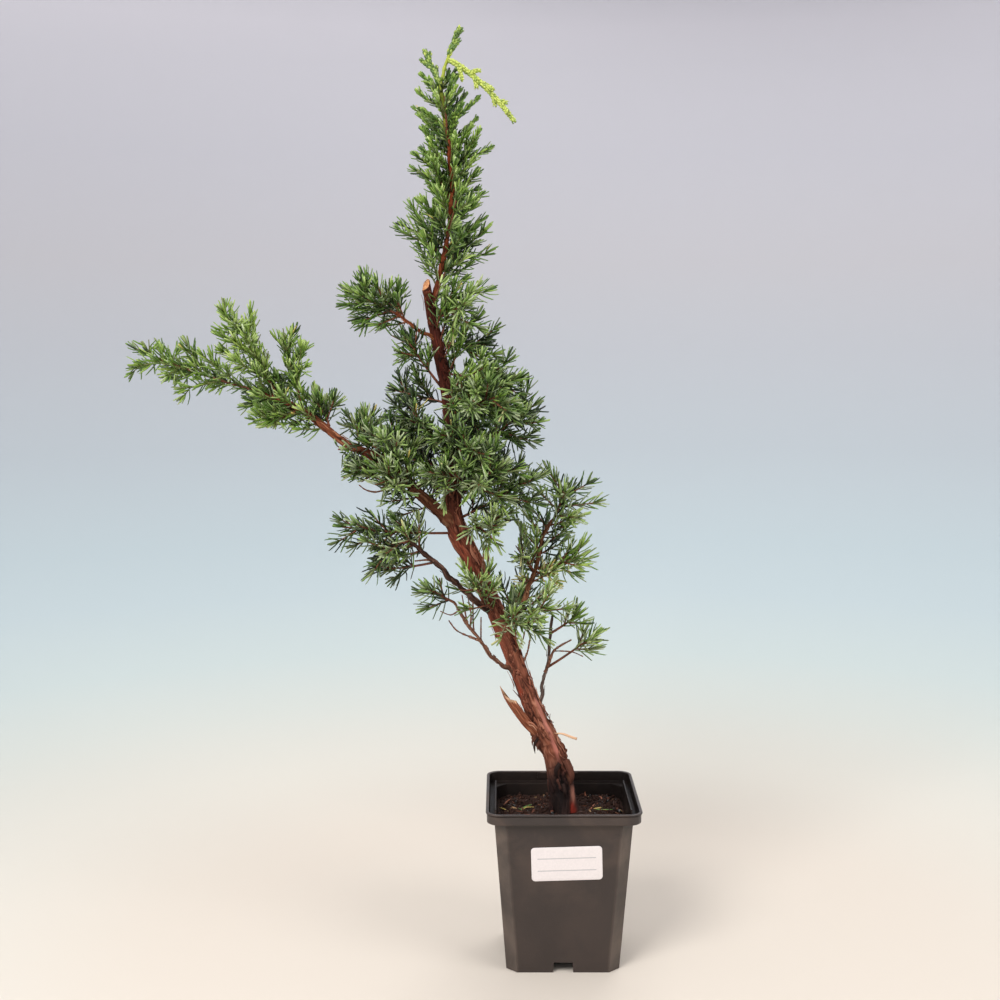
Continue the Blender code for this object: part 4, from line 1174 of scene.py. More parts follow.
def box_mesh(name, low, high, lean):
    """A box between two corners whose sides lean in towards its top."""
    vertices = [(x, y, z) for z, inset in ((low[2], 0.0), (high[2], lean))
                for x, y in ((low[0] + inset, low[1] + inset), (high[0] - inset, low[1] + inset),
                             (high[0] - inset, high[1] - inset), (low[0] + inset, high[1] - inset))]
    faces = [(3, 2, 1, 0), (4, 5, 6, 7), (0, 1, 5, 4), (1, 2, 6, 5), (2, 3, 7, 6), (3, 0, 4, 7)]
    return new_mesh(name, vertices, faces)


def post_mesh(outline, low, high):
    """An upright post over a level outline."""
    count = len(outline)
    rings = np.vstack([np.column_stack([outline, np.full(count, z)]) for z in (low, high)])
    caps = [tuple(reversed(range(count))), tuple(range(count, 2 * count))]
    return new_mesh("post", rings.tolist(), grid_faces(2, count).tolist() + caps)


def apply_boolean(piece, tool_mesh, operation):
    """Join or cut a piece with a tool mesh, then drop the tool."""
    tool = linked("tool", tool_mesh)
    boolean = piece.modifiers.new("work", "BOOLEAN")
    boolean.operation = operation
    boolean.object = tool
    evaluated = piece.evaluated_get(bpy.context.evaluated_depsgraph_get())
    mesh = bpy.data.meshes.new_from_object(evaluated)
    piece.modifiers.clear()
    piece.data = mesh
    bpy.data.objects.remove(tool, do_unlink=True)


def make_pot(settings):
    """The pot: the shell, with crossing drain channels under it, a centre foot and drain holes."""
    rows = pot_profile(settings.fillet)
    heap = Heap()
    heap.add_closed(shell_rings(rows, 40), [[0.0, 0.0, rows[0][2]], [0.0, 0.0, rows[-1][2]]])
    pot = heap.piece("pot_shell", [])
    reach = half_at(CHANNEL_HEIGHT) - 0.5 * WALL
    half = 0.5 * CHANNEL_WIDTH
    top = CHANNEL_HEIGHT + WALL
    for x, y in ((reach, half + WALL), (half + WALL, reach)):
        apply_boolean(pot, box_mesh("ridge", (-x, -y, 0.5 * FLOOR), (x, y, top), 0.0004), "UNION")
    for x, y in ((2 * reach, half), (half, 2 * reach)):
        apply_boolean(pot, box_mesh("channel", (-x, -y, -0.004), (x, y, CHANNEL_HEIGHT), 0.0008),
                      "DIFFERENCE")
    for side in (-1, 1):
        x = side * (half_at(LEDGE) - 0.6 * WALL)
        low = (x - STRIP_HALF, -STRIP_REACH, LEDGE - 0.002)
        high = (x + STRIP_HALF, STRIP_REACH, POT_TOP - 0.0022)
        apply_boolean(pot, box_mesh("strip", low, high, 0.0001), "UNION")
    for x in BRACKETS:
        low = (x - BRACKET_HALF, BAND_HALF - WALL - 0.0012, POT_TOP - 0.0052)
        high = (x + BRACKET_HALF, BAND_HALF - 0.5 * WALL, POT_TOP - 0.0012)
        apply_boolean(pot, box_mesh("bracket", low, high, 0.0002), "UNION")
    angles = 2 * pi * np.arange(24) / 24
    ring = np.stack([np.cos(angles), np.sin(angles)], axis=1)
    apply_boolean(pot, post_mesh(FOOT_RADIUS * ring, 0.0, CHANNEL_HEIGHT + 0.5 * WALL), "UNION")
    for way in ((1, 0), (-1, 0), (0, 1), (0, -1)):
        hole = HOLE_RADIUS * ring + HOLE_OUT * np.array(way)
        apply_boolean(pot, post_mesh(hole, 0.003, 0.02), "DIFFERENCE")
    pot.data.materials.clear()
    pot.data.materials.append(pot_material("pot_plastic", settings, 1.0))
    pot.data.materials.append(pot_material("pot_inside", settings, INSIDE_SHADE_SHARE))
    # Faces that face inwards between the floor and the rim take the darker copy: painted shade.
    for face in pot.data.polygons:
        inward = face.normal.xy.dot(face.center.xy) < 0 or face.normal.z > 0.9
        face.material_index = int(inward and FLOOR < face.center.z < POT_TOP - 0.001)
    pot.data.shade_smooth()
    pot.data.set_sharp_from_angle(angle=radians(32))
    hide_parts("pot")


class JUNIPER_OT_pot(bpy.types.Operator):
    """Make the moulded nursery pot"""

    bl_idname = "juniper.pot"
    bl_label = "Pot"

    def execute(self, context):
        make_pot(context.scene.juniper_pot)
        return {"FINISHED"}


# Label


LABEL_WIDTH = 0.05
LABEL_HEIGHT = 0.025
LABEL_CORNER = 0.0026
LABEL_CENTRE = (0.002, 0.0825)
LABEL_TURN = radians(1.8)
# The ruled lines' heights as shares of the label's, and its rings from the middle out and back under it:
# share of the outline, height over the wall
LABEL_LINES = (0.3, 0.66)
LABEL_RINGS = ((0.0001, 0.0004), (0.4, 0.0004), (0.8, 0.0004), (0.985, 0.0004), (1.0, 0.00034), (1.0, 0.0002),
               (0.9, 0.0002), (0.0001, 0.0002))


def label_material():
    """Coated paper with two thin ruled lines to write on, by the label's own UV map."""
    material = new_material("label_paper", linear((224, 214, 211)), 0.42)
    w = Wiring(material)
    uv = w.node("UVMap", uv_map="label").outputs["UV"]
    across, up, _ = w.node("SeparateXYZ", {"Vector": uv}).outputs
    low, high = (w.grade(w.maths("ABSOLUTE", w.maths("SUBTRACT", up, height)), 0.01, 0.016, 1.0, 0.0)
                 for height in LABEL_LINES)
    centre = w.maths("ABSOLUTE", w.maths("SUBTRACT", across, 0.5))
    ink = w.times(w.maths("MAXIMUM", low, high), w.grade(centre, 0.41, 0.415, 1.0, 0.0))
    grain = w.noise(w.object_place(), 700.0, 3.0)
    paper = w.mix(w.grade(grain, 0.3, 0.7), linear((226, 216, 213)), linear((218, 209, 206)))
    w.finish("Base Color", w.mix(w.times(ink, 0.55), paper, linear((120, 122, 128))))
    w.bump(grain, 0.00002, 0.4)
    return material


def make_label():
    """The blank label: rings of its rounded outline from the middle out, over the wall and back under."""
    a = np.linspace(0.0, pi / 2, 7)
    ring = []
    for x, z, start in ((1, 1, 0), (-1, 1, 1), (-1, -1, 2), (1, -1, 3)):
        turn = a + start * pi / 2
        ring.append(np.stack([x * (LABEL_WIDTH / 2 - LABEL_CORNER) + LABEL_CORNER * np.cos(turn),
                              z * (LABEL_HEIGHT / 2 - LABEL_CORNER) + LABEL_CORNER * np.sin(turn)], axis=1))
    ring = np.vstack(ring)
    around = len(ring)
    flat = np.vstack([ring * share for share, _ in LABEL_RINGS])
    lift = np.repeat([height for _, height in LABEL_RINGS], around)
    c, s = cos(LABEL_TURN), sin(LABEL_TURN)
    turned = flat @ np.array([[c, s], [-s, c]])
    draft = (NECK_HALF - FOOT_HALF) / BAND_FOOT
    slope = unit(np.array([0.0, -draft, 1.0]))
    out = unit(np.array([0.0, -1.0, -draft]))
    wall = np.array([LABEL_CENTRE[0], -half_at(LABEL_CENTRE[1]), LABEL_CENTRE[1]])
    places = wall + turned[:, :1] * np.array([1.0, 0.0, 0.0]) + turned[:, 1:] * slope + lift[:, None] * out
    heap = Heap()
    heap.add(places, grid_faces(len(LABEL_RINGS), around)[:, ::-1])
    label = heap.piece("label_sticker", [label_material()])
    layer = label.data.uv_layers.new(name="label")
    uv = flat / np.array([LABEL_WIDTH, LABEL_HEIGHT]) + 0.5
    corners = np.empty(len(label.data.loops), np.int32)
    label.data.loops.foreach_get("vertex_index", corners)
    layer.data.foreach_set("uv", uv[corners].ravel())
    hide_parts("label")


class JUNIPER_OT_label(bpy.types.Operator):
    """Make the blank label"""

    bl_idname = "juniper.label"
    bl_label = "Label"

    def execute(self, context):
        make_label()
        return {"FINISHED"}


# Soil


def chamfered_reach(turn, half, corner):
    """How far a square with cut corners reaches from its centre in each direction."""
    c, s = np.abs(np.cos(turn)) + 1e-9, np.abs(np.sin(turn)) + 1e-9
    return np.minimum(np.minimum(half / c, half / s), (2 * half - corner) / (c + s))


def soil_height(x, y, heap):
    """Height of the soil: uneven in three sizes of lump, a heap round the trunk's foot, lower at the edge."""
    across = (x + 0.06) / 0.12
    along = (y + 0.06) / 0.12
    lumps = lattice_noise(across * 7, along * 7, 64, 11)
    small = lattice_noise(across * 22, along * 22, 64, 12)
    fine = lattice_noise(across * 60, along * 60, 128, 13)
    foot = np.hypot(x - TRUNK_PATH[0][0], y - TRUNK_PATH[0][1])
    mound = 0.002 * np.exp(-((foot - 0.01) / 0.01) ** 2)
    edge = np.clip((np.maximum(np.abs(x), np.abs(y)) - 0.036) / 0.011, 0, 1)
    return SOIL_TOP - 0.0014 + mound + heap * (0.35 * lumps + 0.22 * small + 0.1 * fine) - 0.0022 * edge


def make_soil(settings):
    """The soil: a disc of rings stretched to the pot's inside, closed by a wall and a flat underside."""
    around = 220
    turn = 2 * pi * np.arange(around) / around
    inner = half_at(SOIL_TOP) - WALL - 0.0002
    reach = chamfered_reach(turn, inner, SOIL_CORNER)
    share = np.linspace(0.015, 1.0, 70)[:, None]
    x, y = share * reach * np.cos(turn), share * reach * np.sin(turn)
    top = np.stack([x, y, soil_height(x, y, settings.heap)], axis=-1)
    low = chamfered_reach(turn, half_at(0.011) - WALL - 0.0003, SOIL_CORNER)
    crest = float(soil_height(np.zeros(1), np.zeros(1), settings.heap)[0])
    heap = Heap()
    heap.add_closed(np.concatenate([top, level_ring(low, turn, SOIL_FOOT)[None]]),
                    [[0.0, 0.0, crest], [0.0, 0.0, SOIL_FOOT]], outward=False)
    material = speckled("damp_peat", (38, 26, 22), (60, 41, 34), 420.0, 0.9, 0.0008, Specular_IOR_Level=0.1)
    soil = heap.piece("soil_surface", [material], smooth=True)
    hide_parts("soil")


CRUMB_CORNERS = 12


def icosahedron():
    """Corners and faces of a regular icosahedron of radius one."""
    g = (1 + 5 ** 0.5) / 2
    corners = np.array([(-1, g, 0), (1, g, 0), (-1, -g, 0), (1, -g, 0), (0, -1, g), (0, 1, g), (0, -1, -g),
                        (0, 1, -g), (g, 0, -1), (g, 0, 1), (-g, 0, -1), (-g, 0, 1)], float)
    faces = np.array([(0, 11, 5), (0, 5, 1), (0, 1, 7), (0, 7, 10), (0, 10, 11), (1, 5, 9), (5, 11, 4),
                      (11, 10, 2), (10, 7, 6), (7, 1, 8), (3, 9, 4), (3, 4, 2), (3, 2, 6), (3, 6, 8),
                      (3, 8, 9), (4, 9, 5), (2, 4, 11), (6, 2, 10), (8, 6, 7), (9, 8, 1)])
    return unit(corners), faces


def random_turns(count, chance):
    """Random rotation matrices."""
    q = unit(chance.normal(size=(count, 4)))
    w, x, y, z = q.T
    return np.stack([
        np.stack([1 - 2 * (y * y + z * z), 2 * (x * y - z * w), 2 * (x * z + y * w)], axis=-1),
        np.stack([2 * (x * y + z * w), 1 - 2 * (x * x + z * z), 2 * (y * z - x * w)], axis=-1),
        np.stack([2 * (x * z - y * w), 2 * (y * z + x * w), 1 - 2 * (x * x + y * y)], axis=-1)], axis=1)


def soil_places(count, chance, heap):
    """Random places on the soil, clear of the trunk's foot and inside the pot."""
    reach = half_at(SOIL_TOP) - WALL - 0.0025
    points = chance.uniform(-reach, reach, (3 * count, 2))
    x, y = points.T
    clear = np.hypot(x - TRUNK_PATH[0][0], y - TRUNK_PATH[0][1]) > 0.0115
    clear &= np.abs(x) + np.abs(y) < 2 * reach - 0.008
    points = points[clear][:count]
    x, y = points.T
    return np.column_stack([x, y, soil_height(x, y, heap)])


def make_crumbs(settings):
    """Loose crumbs of peat and bark: dented, stretched icosahedra, small ones many and large ones few."""
    chance = np.random.default_rng(21)
    corners, faces = icosahedron()
    places = soil_places(settings.crumbs, chance, settings.heap)
    count = len(places)
    sizes = 0.0004 + 0.0017 * chance.random(count) ** 4
    stretch = np.stack([chance.uniform(0.7, 1.9, count), chance.uniform(0.6, 1.1, count),
                        chance.uniform(0.35, 0.9, count)], axis=1)
    dented = corners[None] * chance.uniform(0.7, 1.15, (count, CRUMB_CORNERS, 1))
    shaped = dented * (sizes[:, None] * stretch)[:, None]
    turned = np.einsum("nij,nkj->nki", random_turns(count, chance), shaped)
    places[:, 2] += 0.25 * sizes
    kinds = chance.choice(5, count, p=(0.56, 0.28, 0.06, 0.09, 0.01))
    heap = Heap()
    heap.add((turned + places[:, None]).reshape(-1, 3),
             (faces[None] + (np.arange(count) * CRUMB_CORNERS)[:, None, None]).reshape(-1, 3),
             np.repeat(kinds, len(faces)))
    crumbs = heap.piece("soil_crumbs", [
        speckled("peat_dark", (34, 23, 19), (58, 38, 31), 900.0, 0.9, Specular_IOR_Level=0.1),
        speckled("peat_brown", (34, 20, 15), (60, 36, 26), 900.0, 0.9, Specular_IOR_Level=0.15),
        speckled("bark_chip", (104, 62, 46), (64, 36, 26), 700.0, 0.8, Specular_IOR_Level=0.2),
        speckled("peat_black", (9, 7, 6), (16, 12, 10), 900.0, 0.28),
        speckled("straw_crumb", (150, 118, 80), (112, 80, 50), 700.0, 0.75)])


def make_litter(settings):
    """Fibres, fallen bark slivers and a few fallen needles, as thin bent tubes on the soil."""
    chance = np.random.default_rng(22)
    places = soil_places(90, chance, settings.heap)
    count = len(places)
    turn = chance.uniform(0, 2 * pi, count)
    length = chance.uniform(0.004, 0.014, count)
    t = np.linspace(-0.5, 0.5, 7)
    bend = chance.uniform(-0.5, 0.5, count)
    way = np.stack([np.cos(turn), np.sin(turn), chance.uniform(-0.12, 0.25, count)], axis=1)
    side = np.stack([-np.sin(turn), np.cos(turn), np.zeros(count)], axis=1)
    lines = (places[:, None] + way[:, None] * (length[:, None] * t)[..., None]
             + side[:, None] * ((bend * length)[:, None] * (t * t * 2))[..., None])
    lines[:, :, 2] += 0.0007
    limit = half_at(SOIL_TOP) - WALL - 0.001
    lines[:, :, :2] = np.clip(lines[:, :, :2], -limit, limit)
    kinds = chance.choice(5, count, p=(0.42, 0.3, 0.18, 0.05, 0.05))
    thick = np.where(kinds == 2, 0.0006, np.where(kinds >= 3, 0.00045, 0.00022))
    radii = thick[:, None] * (1.0 - 0.6 * (2 * np.abs(t)) ** 2)[None]
    vertices, faces = tubes(lines, radii, 5)
    heap = Heap()
    heap.add(vertices, faces, np.repeat(kinds, len(faces) // count))
    litter = heap.piece("soil_litter", [
        new_material("root_fibre", linear((70, 46, 34)), 0.8),
        new_material("bark_fibre", linear((122, 70, 44)), 0.8),
        new_material("bark_sliver", linear((142, 84, 58)), 0.75),
        new_material("fallen_green_needle", linear((96, 138, 62)), 0.5),
        new_material("fallen_dry_needle", linear((196, 172, 92)), 0.6)])


class JUNIPER_OT_soil(bpy.types.Operator):
    """Make the potting soil with its crumbs and litter"""

    bl_idname = "juniper.soil"
    bl_label = "Soil"

    def execute(self, context):
        settings = context.scene.juniper_soil
        make_soil(settings)
        make_crumbs(settings)
        make_litter(settings)
        return {"FINISHED"}


# Trunk and boughs


PLATE_WIDTH = 0.0038
BARK_SLANT = 16.0
# How much of a limb's radius lies under the bark, and the radius at which its relief is full
CORE = 0.89
FULL_RELIEF = 0.0075
LEAST_RELIEF = 0.52

# Bark colours from crevice to ridge at lengths up each limb; limbs not named share the last table
# Crevices darker and ridges lighter: partly the bark's own colours, partly painted shade and a painted
# highlight
TONES = {
    "trunk": ((0.0, (18, 10, 9), (36, 18, 15), (80, 50, 42)),
              (0.026, (24, 12, 10), (52, 28, 22), (106, 66, 52)),
              (0.045, (54, 25, 17), (112, 62, 44), (172, 116, 92)),
              (0.075, (56, 26, 17), (120, 68, 49), (180, 124, 98)),
              (0.13, (60, 27, 18), (128, 71, 52), (184, 127, 101)),
              (0.235, (48, 20, 13), (108, 56, 39), (160, 102, 78)),
              (0.3, (32, 13, 8), (74, 32, 21), (106, 58, 40)),
              (0.42, (36, 14, 8), (82, 36, 22), (114, 60, 38))),
    "long_bough": ((0.0, (46, 21, 12), (98, 56, 36), (142, 100, 72)),
                   (0.2, (66, 28, 14), (132, 70, 42), (182, 122, 88))),
    "upper_left_bough": ((0.0, (66, 30, 18), (130, 66, 38), (176, 110, 70)),),
    "leader": ((0.0, (56, 24, 11), (124, 60, 32), (168, 98, 60)),
               (0.122, (68, 28, 13), (136, 62, 32), (172, 100, 56)),
               (0.131, (104, 100, 34), (146, 146, 54), (176, 174, 80)),
               (0.15, (116, 126, 42), (158, 168, 62), (188, 194, 92))),
    "right_twig": ((0.0, (44, 34, 29), (86, 70, 62), (154, 134, 122)),),
    "right_bough": ((0.0, (66, 34, 22), (132, 84, 58), (180, 134, 100)),),
    "lowest_twig": ((0.0, (58, 34, 25), (118, 78, 60), (168, 130, 106)),),
    "low_left_bough": ((0.0, (28, 17, 13), (66, 42, 33), (116, 84, 70)),),
    "": ((0.0, (42, 23, 16), (86, 54, 41), (130, 96, 78)),),
}
# Patches on the trunk: length up it, way round in degrees, half length, half turn, colour, share, how smooth
BARK_PATCHES = (
    (0.09, 236, 0.015, 22, (142, 54, 34), 0.75, 0.6),
    (0.084, 320, 0.011, 15, (182, 116, 100), 0.75, 0.9),
    (0.067, 305, 0.012, 15, (186, 120, 104), 0.8, 0.9),
    (0.049, 291, 0.012, 14, (180, 110, 96), 0.75, 0.9),
    (0.12, 300, 0.014, 22, (168, 104, 78), 0.5, 0.6),
    (0.106, 266, 0.018, 12, (90, 60, 45), 0.6, 0.0),
    (0.08, 250, 0.009, 11, (98, 72, 55), 0.55, 0.0),
    (0.072, 354, 0.03, 13, (54, 31, 24), 0.7, 0.2),
    (0.14, 215, 0.02, 30, (138, 62, 42), 0.6, 0.6),
    (0.205, 245, 0.026, 26, (150, 72, 50), 0.6, 0.6),
    # Painted shadow: the front-left of the foot, near black
    (0.012, 250, 0.02, 66, (22, 14, 12), 0.92, 0.0),
    (0.028, 322, 0.0075, 22, (112, 72, 53), 0.9, 0.8),
    (0.013, 334, 0.0075, 13, (160, 106, 88), 0.85, 0.6),
    (0.003, 326, 0.005, 14, (132, 40, 26), 0.85, 0.6),
    (0.022, 270, 0.01, 26, (16, 10, 9), 0.85, 0.0),
    (0.345, 262, 0.02, 18, (92, 32, 22), 0.6, 0.6),
)
# Where the trunk's bark flakes most: length up it, way round in degrees, half length, half turn
FLAKY_BANDS = (
    (0.106, 267, 0.018, 14), (0.08, 250, 0.01, 14), (0.062, 262, 0.007, 24), (0.128, 330, 0.016, 24),
    (0.03, 300, 0.012, 40), (0.07, 355, 0.026, 12), (0.16, 290, 0.018, 30), (0.215, 290, 0.03, 34),
    (0.33, 300, 0.03, 40), (0.385, 280, 0.024, 44),
)
# Knots and stubs on the trunk: length up it, way round in degrees, half length, half turn, height
KNOTS = (
    (0.066, 0, 0.0022, 11, 0.0013), (0.0615, 2, 0.0016, 9, 0.0011), (0.0595, 297, 0.0013, 8, 0.0006),
    (0.0465, -5, 0.0028, 15, 0.0016), (0.043, 2, 0.0012, 9, 0.0022), (0.04, -2, 0.0018, 10, 0.0012),
    (0.031, 3, 0.0009, 8, 0.0028), (0.14, 190, 0.0016, 14, 0.0011), (0.172, 10, 0.0018, 14, 0.001),
    (0.235, 185, 0.002, 16, 0.0012), (0.3, 175, 0.0016, 18, 0.001), (0.0575, 186, 0.0105, 32, 0.0029),
)


def bark_material():
    """Bark: the tint kept at each vertex, with finer streaks along the limb, dull and rough."""
    material = new_material("juniper_bark", linear((110, 70, 52)), 0.86, Specular_IOR_Level=0.2)
    w = Wiring(material)
    place = w.mapped(w.node("Attribute", attribute_name="bark_place").outputs["Vector"], (1, 1, 1))
    streak = w.noise(w.mapped(place, (1.0, 1.0, 0.1)), 700.0, 4.0, 0.6, 0.4)
    fine = w.noise(w.mapped(place, (1.0, 1.0, 0.06)), 1900.0, 3.0, 0.6)
    tint = w.node("Attribute", attribute_name="bark_tint").outputs["Color"]
    shaded = w.node("VectorMath", {0: tint, "Scale": w.grade(streak, 0.32, 0.68, 0.7, 1.3)},
                    operation="SCALE")
    w.finish("Base Color", shaded.outputs["Vector"])
    w.bump(w.maths("ADD", w.times(streak, 0.6), w.times(fine, 0.4)), 0.0007, 0.9)
    return material


def tones_at(name, along, level):
    """Linear colours at lengths up a limb and levels from 0 in a crevice to 1 on a ridge, partly painted
    shade and highlight.
    """
    table = TONES.get(name, TONES[""])
    lengths = [row[0] for row in table]
    stops = np.array([[linear(colour) for colour in row[1:]] for row in table])
    mixed = np.stack([[np.interp(along, lengths, stops[:, k, c]) for c in range(3)] for k in range(3)])
    rise = np.clip(level / 0.5, 0, 1)
    crest = np.clip((level - 0.5) / 0.5, 0, 1)
    tones = mixed[0] + rise * (mixed[1] - mixed[0]) + crest * (mixed[2] - mixed[1])
    return np.moveaxis(tones, 0, -1)


def angle_between(turn, degrees):
    """How far each turn lies from the given one, from -pi to pi."""
    return np.angle(np.exp(1j * (turn - radians(degrees))))


def spot(turn, along, where, way, half_length, half_turn):
    """A round spot on a limb: 1 in its middle, falling off at its edge along the limb and round it."""
    away = ((along - where) / half_length) ** 2 + (angle_between(turn, way) / radians(half_turn)) ** 2
    return np.exp(-away ** 1.5)


def smoothed(turn, along):
    """How much of its relief the trunk's bark keeps: less on the patches peeled smooth."""
    kept = np.ones(turn.shape)
    for *place, _, _, smooth in BARK_PATCHES:
        kept = kept * (1 - smooth * spot(turn, along, *place))
    return kept


def patched(tones, turn, along, level):
    """The trunk's colours with peeled, red and dark patches, one a painted shadow at the foot, each fading
    out from its middle.
    """
    for *place, colour, share, _ in BARK_PATCHES:
        fall = spot(turn, along, *place) ** (1.7 - 1.3 * level)
        target = np.array(linear(colour)) * (0.45 + 1.05 * level)[..., None]
        tones = tones + (share * fall)[..., None] * (target - tones)
    return tones


def finish_bark(piece, places, tints):
    """Keep each vertex's place and tint, for the bark's pattern."""
    for name, kind, key, values in (("bark_place", "FLOAT_VECTOR", "vector", places),
                                    ("bark_tint", "FLOAT_COLOR", "color",
                                     np.column_stack([np.clip(tints, 0, 1), np.ones(len(tints))]))):
        layer = piece.data.attributes.new(name, kind, "POINT")
        layer.data.foreach_set(key, np.asarray(values, np.float32).ravel())


def knotted(body, tones, turn, along):
    """The trunk's reach and colours with its knots, which stand out and are darker."""
    for *place, rise in KNOTS:
        bump = spot(turn, along, *place)
        body = body + rise * bump
        tones = tones * (1 - 0.45 * bump)[..., None]
    return body, tones


def bark_tube(name, line, radius, around, seed, materials):
    """A limb's bark as a closed piece: rings round a fine line, pushed in and out by the bark's height.

    A ring's corner stands at line + reach * spoke, where reach = radius * shape * core +
    depth * height, and depth grows with the radius.
    """
    is_trunk = name == "trunk"
    tangent, side, top = frames(line)
    turn, along = np.meshgrid(2 * pi * np.arange(around) / around, lengths_along(line))
    height, streak = bark_skin(turn / (2 * pi), along, 2 * pi * float(radius.mean()), seed)
    kept = smoothed(turn, along) if is_trunk else 1.0
    height, streak = height * kept, streak * kept
    relief = np.clip(radius / FULL_RELIEF, LEAST_RELIEF, 1.0)[:, None] * height
    body = radius[:, None] * CORE * (trunk_shape(turn, along) if is_trunk else 1.0)
    # The level rises with the relief: crevices darker and ridges lighter, partly painted shade and highlight.
    level = np.clip(0.46 + 0.3 * height + 0.22 * streak, 0, 1)
    tones = tones_at(name, along, level)
    if is_trunk:
        body, tones = knotted(body, patched(tones, turn, along, level), turn, along)
    reach = body + bpy.context.scene.juniper_bark.depth * relief
    rings = (line[:, None] + (reach * np.cos(turn))[..., None] * side[:, None]
             + (reach * np.sin(turn))[..., None] * top[:, None])
    if is_trunk:
        cut_on_slant(rings, line, tangent)
    heap = Heap()
    heap.add_closed(rings, [rings[0].mean(axis=0), rings[-1].mean(axis=0) - 0.2 * radius[-1] * tangent[-1]],
                    len(materials) - 1)
    piece = heap.piece(name + "_bark", materials, smooth=True)
    finish_bark(piece, ended(level_ring(0.006, turn, along)), ended(tones))
    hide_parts(name)


def ended(values):
    """A grid's values by vertex, and those of its two middle points, which take each end ring's first."""
    return np.vstack([values.reshape(-1, 3), values[0, :1], values[-1, :1]])


def trunk_shape(turn, along):
    """The trunk's section: slow swellings, root lobes that fade up from the soil, slimmer at foot and top."""
    near = np.exp(-along / FLARE_FADE)
    flare = FLARE_DEPTH * near * np.cos(FLARE_LOBES * turn)
    slow = 0.05 * np.cos(3 * turn + 40.0 * along) + 0.04 * np.cos(2 * turn - 23.0 * along)
    return (1.0 + flare + slow) * (1.0 - 0.16 * near - 0.22 * np.clip((along - 0.37) / 0.045, 0, 1))


def cut_on_slant(rings, line, tangent):
    """Slide the last rings' corners along the trunk onto the saw cut's slanting plane."""
    normal = unit(np.array(CUT_SLANT))
    for row in range(-14, 0):
        share = (row + 15) / 14
        slide = (line[row] - rings[row]) @ normal / (tangent[row] @ normal)
        rings[row] += share * slide[:, None] * tangent[row]


def make_trunk(bark):
    """The trunk: flat at the soil, with knots and stubs, and cut off on a slant at its top."""
    line = smooth_curve(TRUNK_PATH, 640)
    along = lengths_along(line)
    line[:, 0] -= 0.003 * np.exp(-along / 0.014)
    radius = np.interp(along, *zip(*TRUNK_RADII))
    cut = speckled("cut_wood", (224, 164, 112), (176, 104, 66), 900.0, 0.7)
    bark_tube("trunk", line, radius, 128, 31, [bark, cut])


# Limbs whose foot is thinner than this bend and swell a little every so far
THIN_LIMB = 0.0027
BEND_LENGTH = 0.0065
BEND = 0.0009
KNOB_LENGTH = 0.0024
KNOB = 0.24
# How far apart a bough's rings are, and their corners where its foot is thick and where it is thin
RING_STEP = 0.00045
THICK_LIMB = 0.004
THICK_AROUND = 56
THIN_AROUND = 32
# Bark radii, at foot and tip, of the limbs that are slimmer than their solids
BARK_RADII = {"leader": (0.0022, 0.0012), "upper_left_bough": (0.0015, 0.001), "right_twig": (0.0013, 0.0009)}


def limb_line(limb, trunk, rings):
    """A limb's fine line from inside the trunk, with a collar where it leaves."""
    dense = smooth_curve(limb.path, 160)
    line = evenly(dense, rings)
    along = lengths_along(line)
    start = lengths_along(dense)[first_outside(dense, trunk)]
    share = np.clip((along - start) / (along[-1] - start), 0, 1)
    foot, tip = BARK_RADII.get(limb.name, (limb.foot, limb.tip))
    radius = foot + (tip - foot) * share
    if limb.foot < THIN_LIMB:
        still = np.full(rings, 0.5)
        seed = 400 + len(limb.name)
        bends = [lattice_noise(still, along / BEND_LENGTH, 4, seed + k) for k in range(3)]
        line = line + BEND * np.clip(along / BEND_LENGTH, 0, 1)[:, None] * np.stack(bends, axis=1)
        radius = radius * (1 + KNOB * lattice_noise(still, along / KNOB_LENGTH, 4, seed + 3))
    return line, radius * (1.0 + 0.45 * np.exp(-np.clip(along - start, 0, None) / 0.004))


def make_boughs(bark):
    """Every limb as its own tube of bark."""
    trunk = limb_lines()["trunk"]
    for number, limb in enumerate(LIMBS):
        rings = int(lengths_along(smooth_curve(limb.path, 60))[-1] / RING_STEP)
        line, radius = limb_line(limb, trunk, rings)
        around = THICK_AROUND if limb.foot > THICK_LIMB else THIN_AROUND
        bark_tube(limb.name, line, radius, around, 50 + 11 * number, [bark])


class JUNIPER_OT_trunk(bpy.types.Operator):
    """Make the trunk, the boughs, the broken spur, the peeling strips and the bare twigs"""

    bl_idname = "juniper.trunk"
    bl_label = "Trunk and boughs"

    def execute(self, context):
        bark = bark_material()
        make_trunk(bark)
        make_boughs(bark)
        make_spur(bark)
        make_strips(context.scene.juniper_bark.strips, bark)
        make_bare_twigs(bark)
        return {"FINISHED"}


# Broken spur and peeling strips


SPUR_PATH = ((-0.0137, 0.0, 0.1602), (-0.0203, -0.004, 0.167), (-0.0271, -0.008, 0.1753),
             (-0.036, -0.013, 0.1891), (-0.0437, -0.018, 0.2038))
SPUR_HALF = 0.0036
SPUR_TONES = ((84, 42, 28), (136, 77, 53), (172, 112, 82))
TORN_COLOUR = (212, 172, 136)


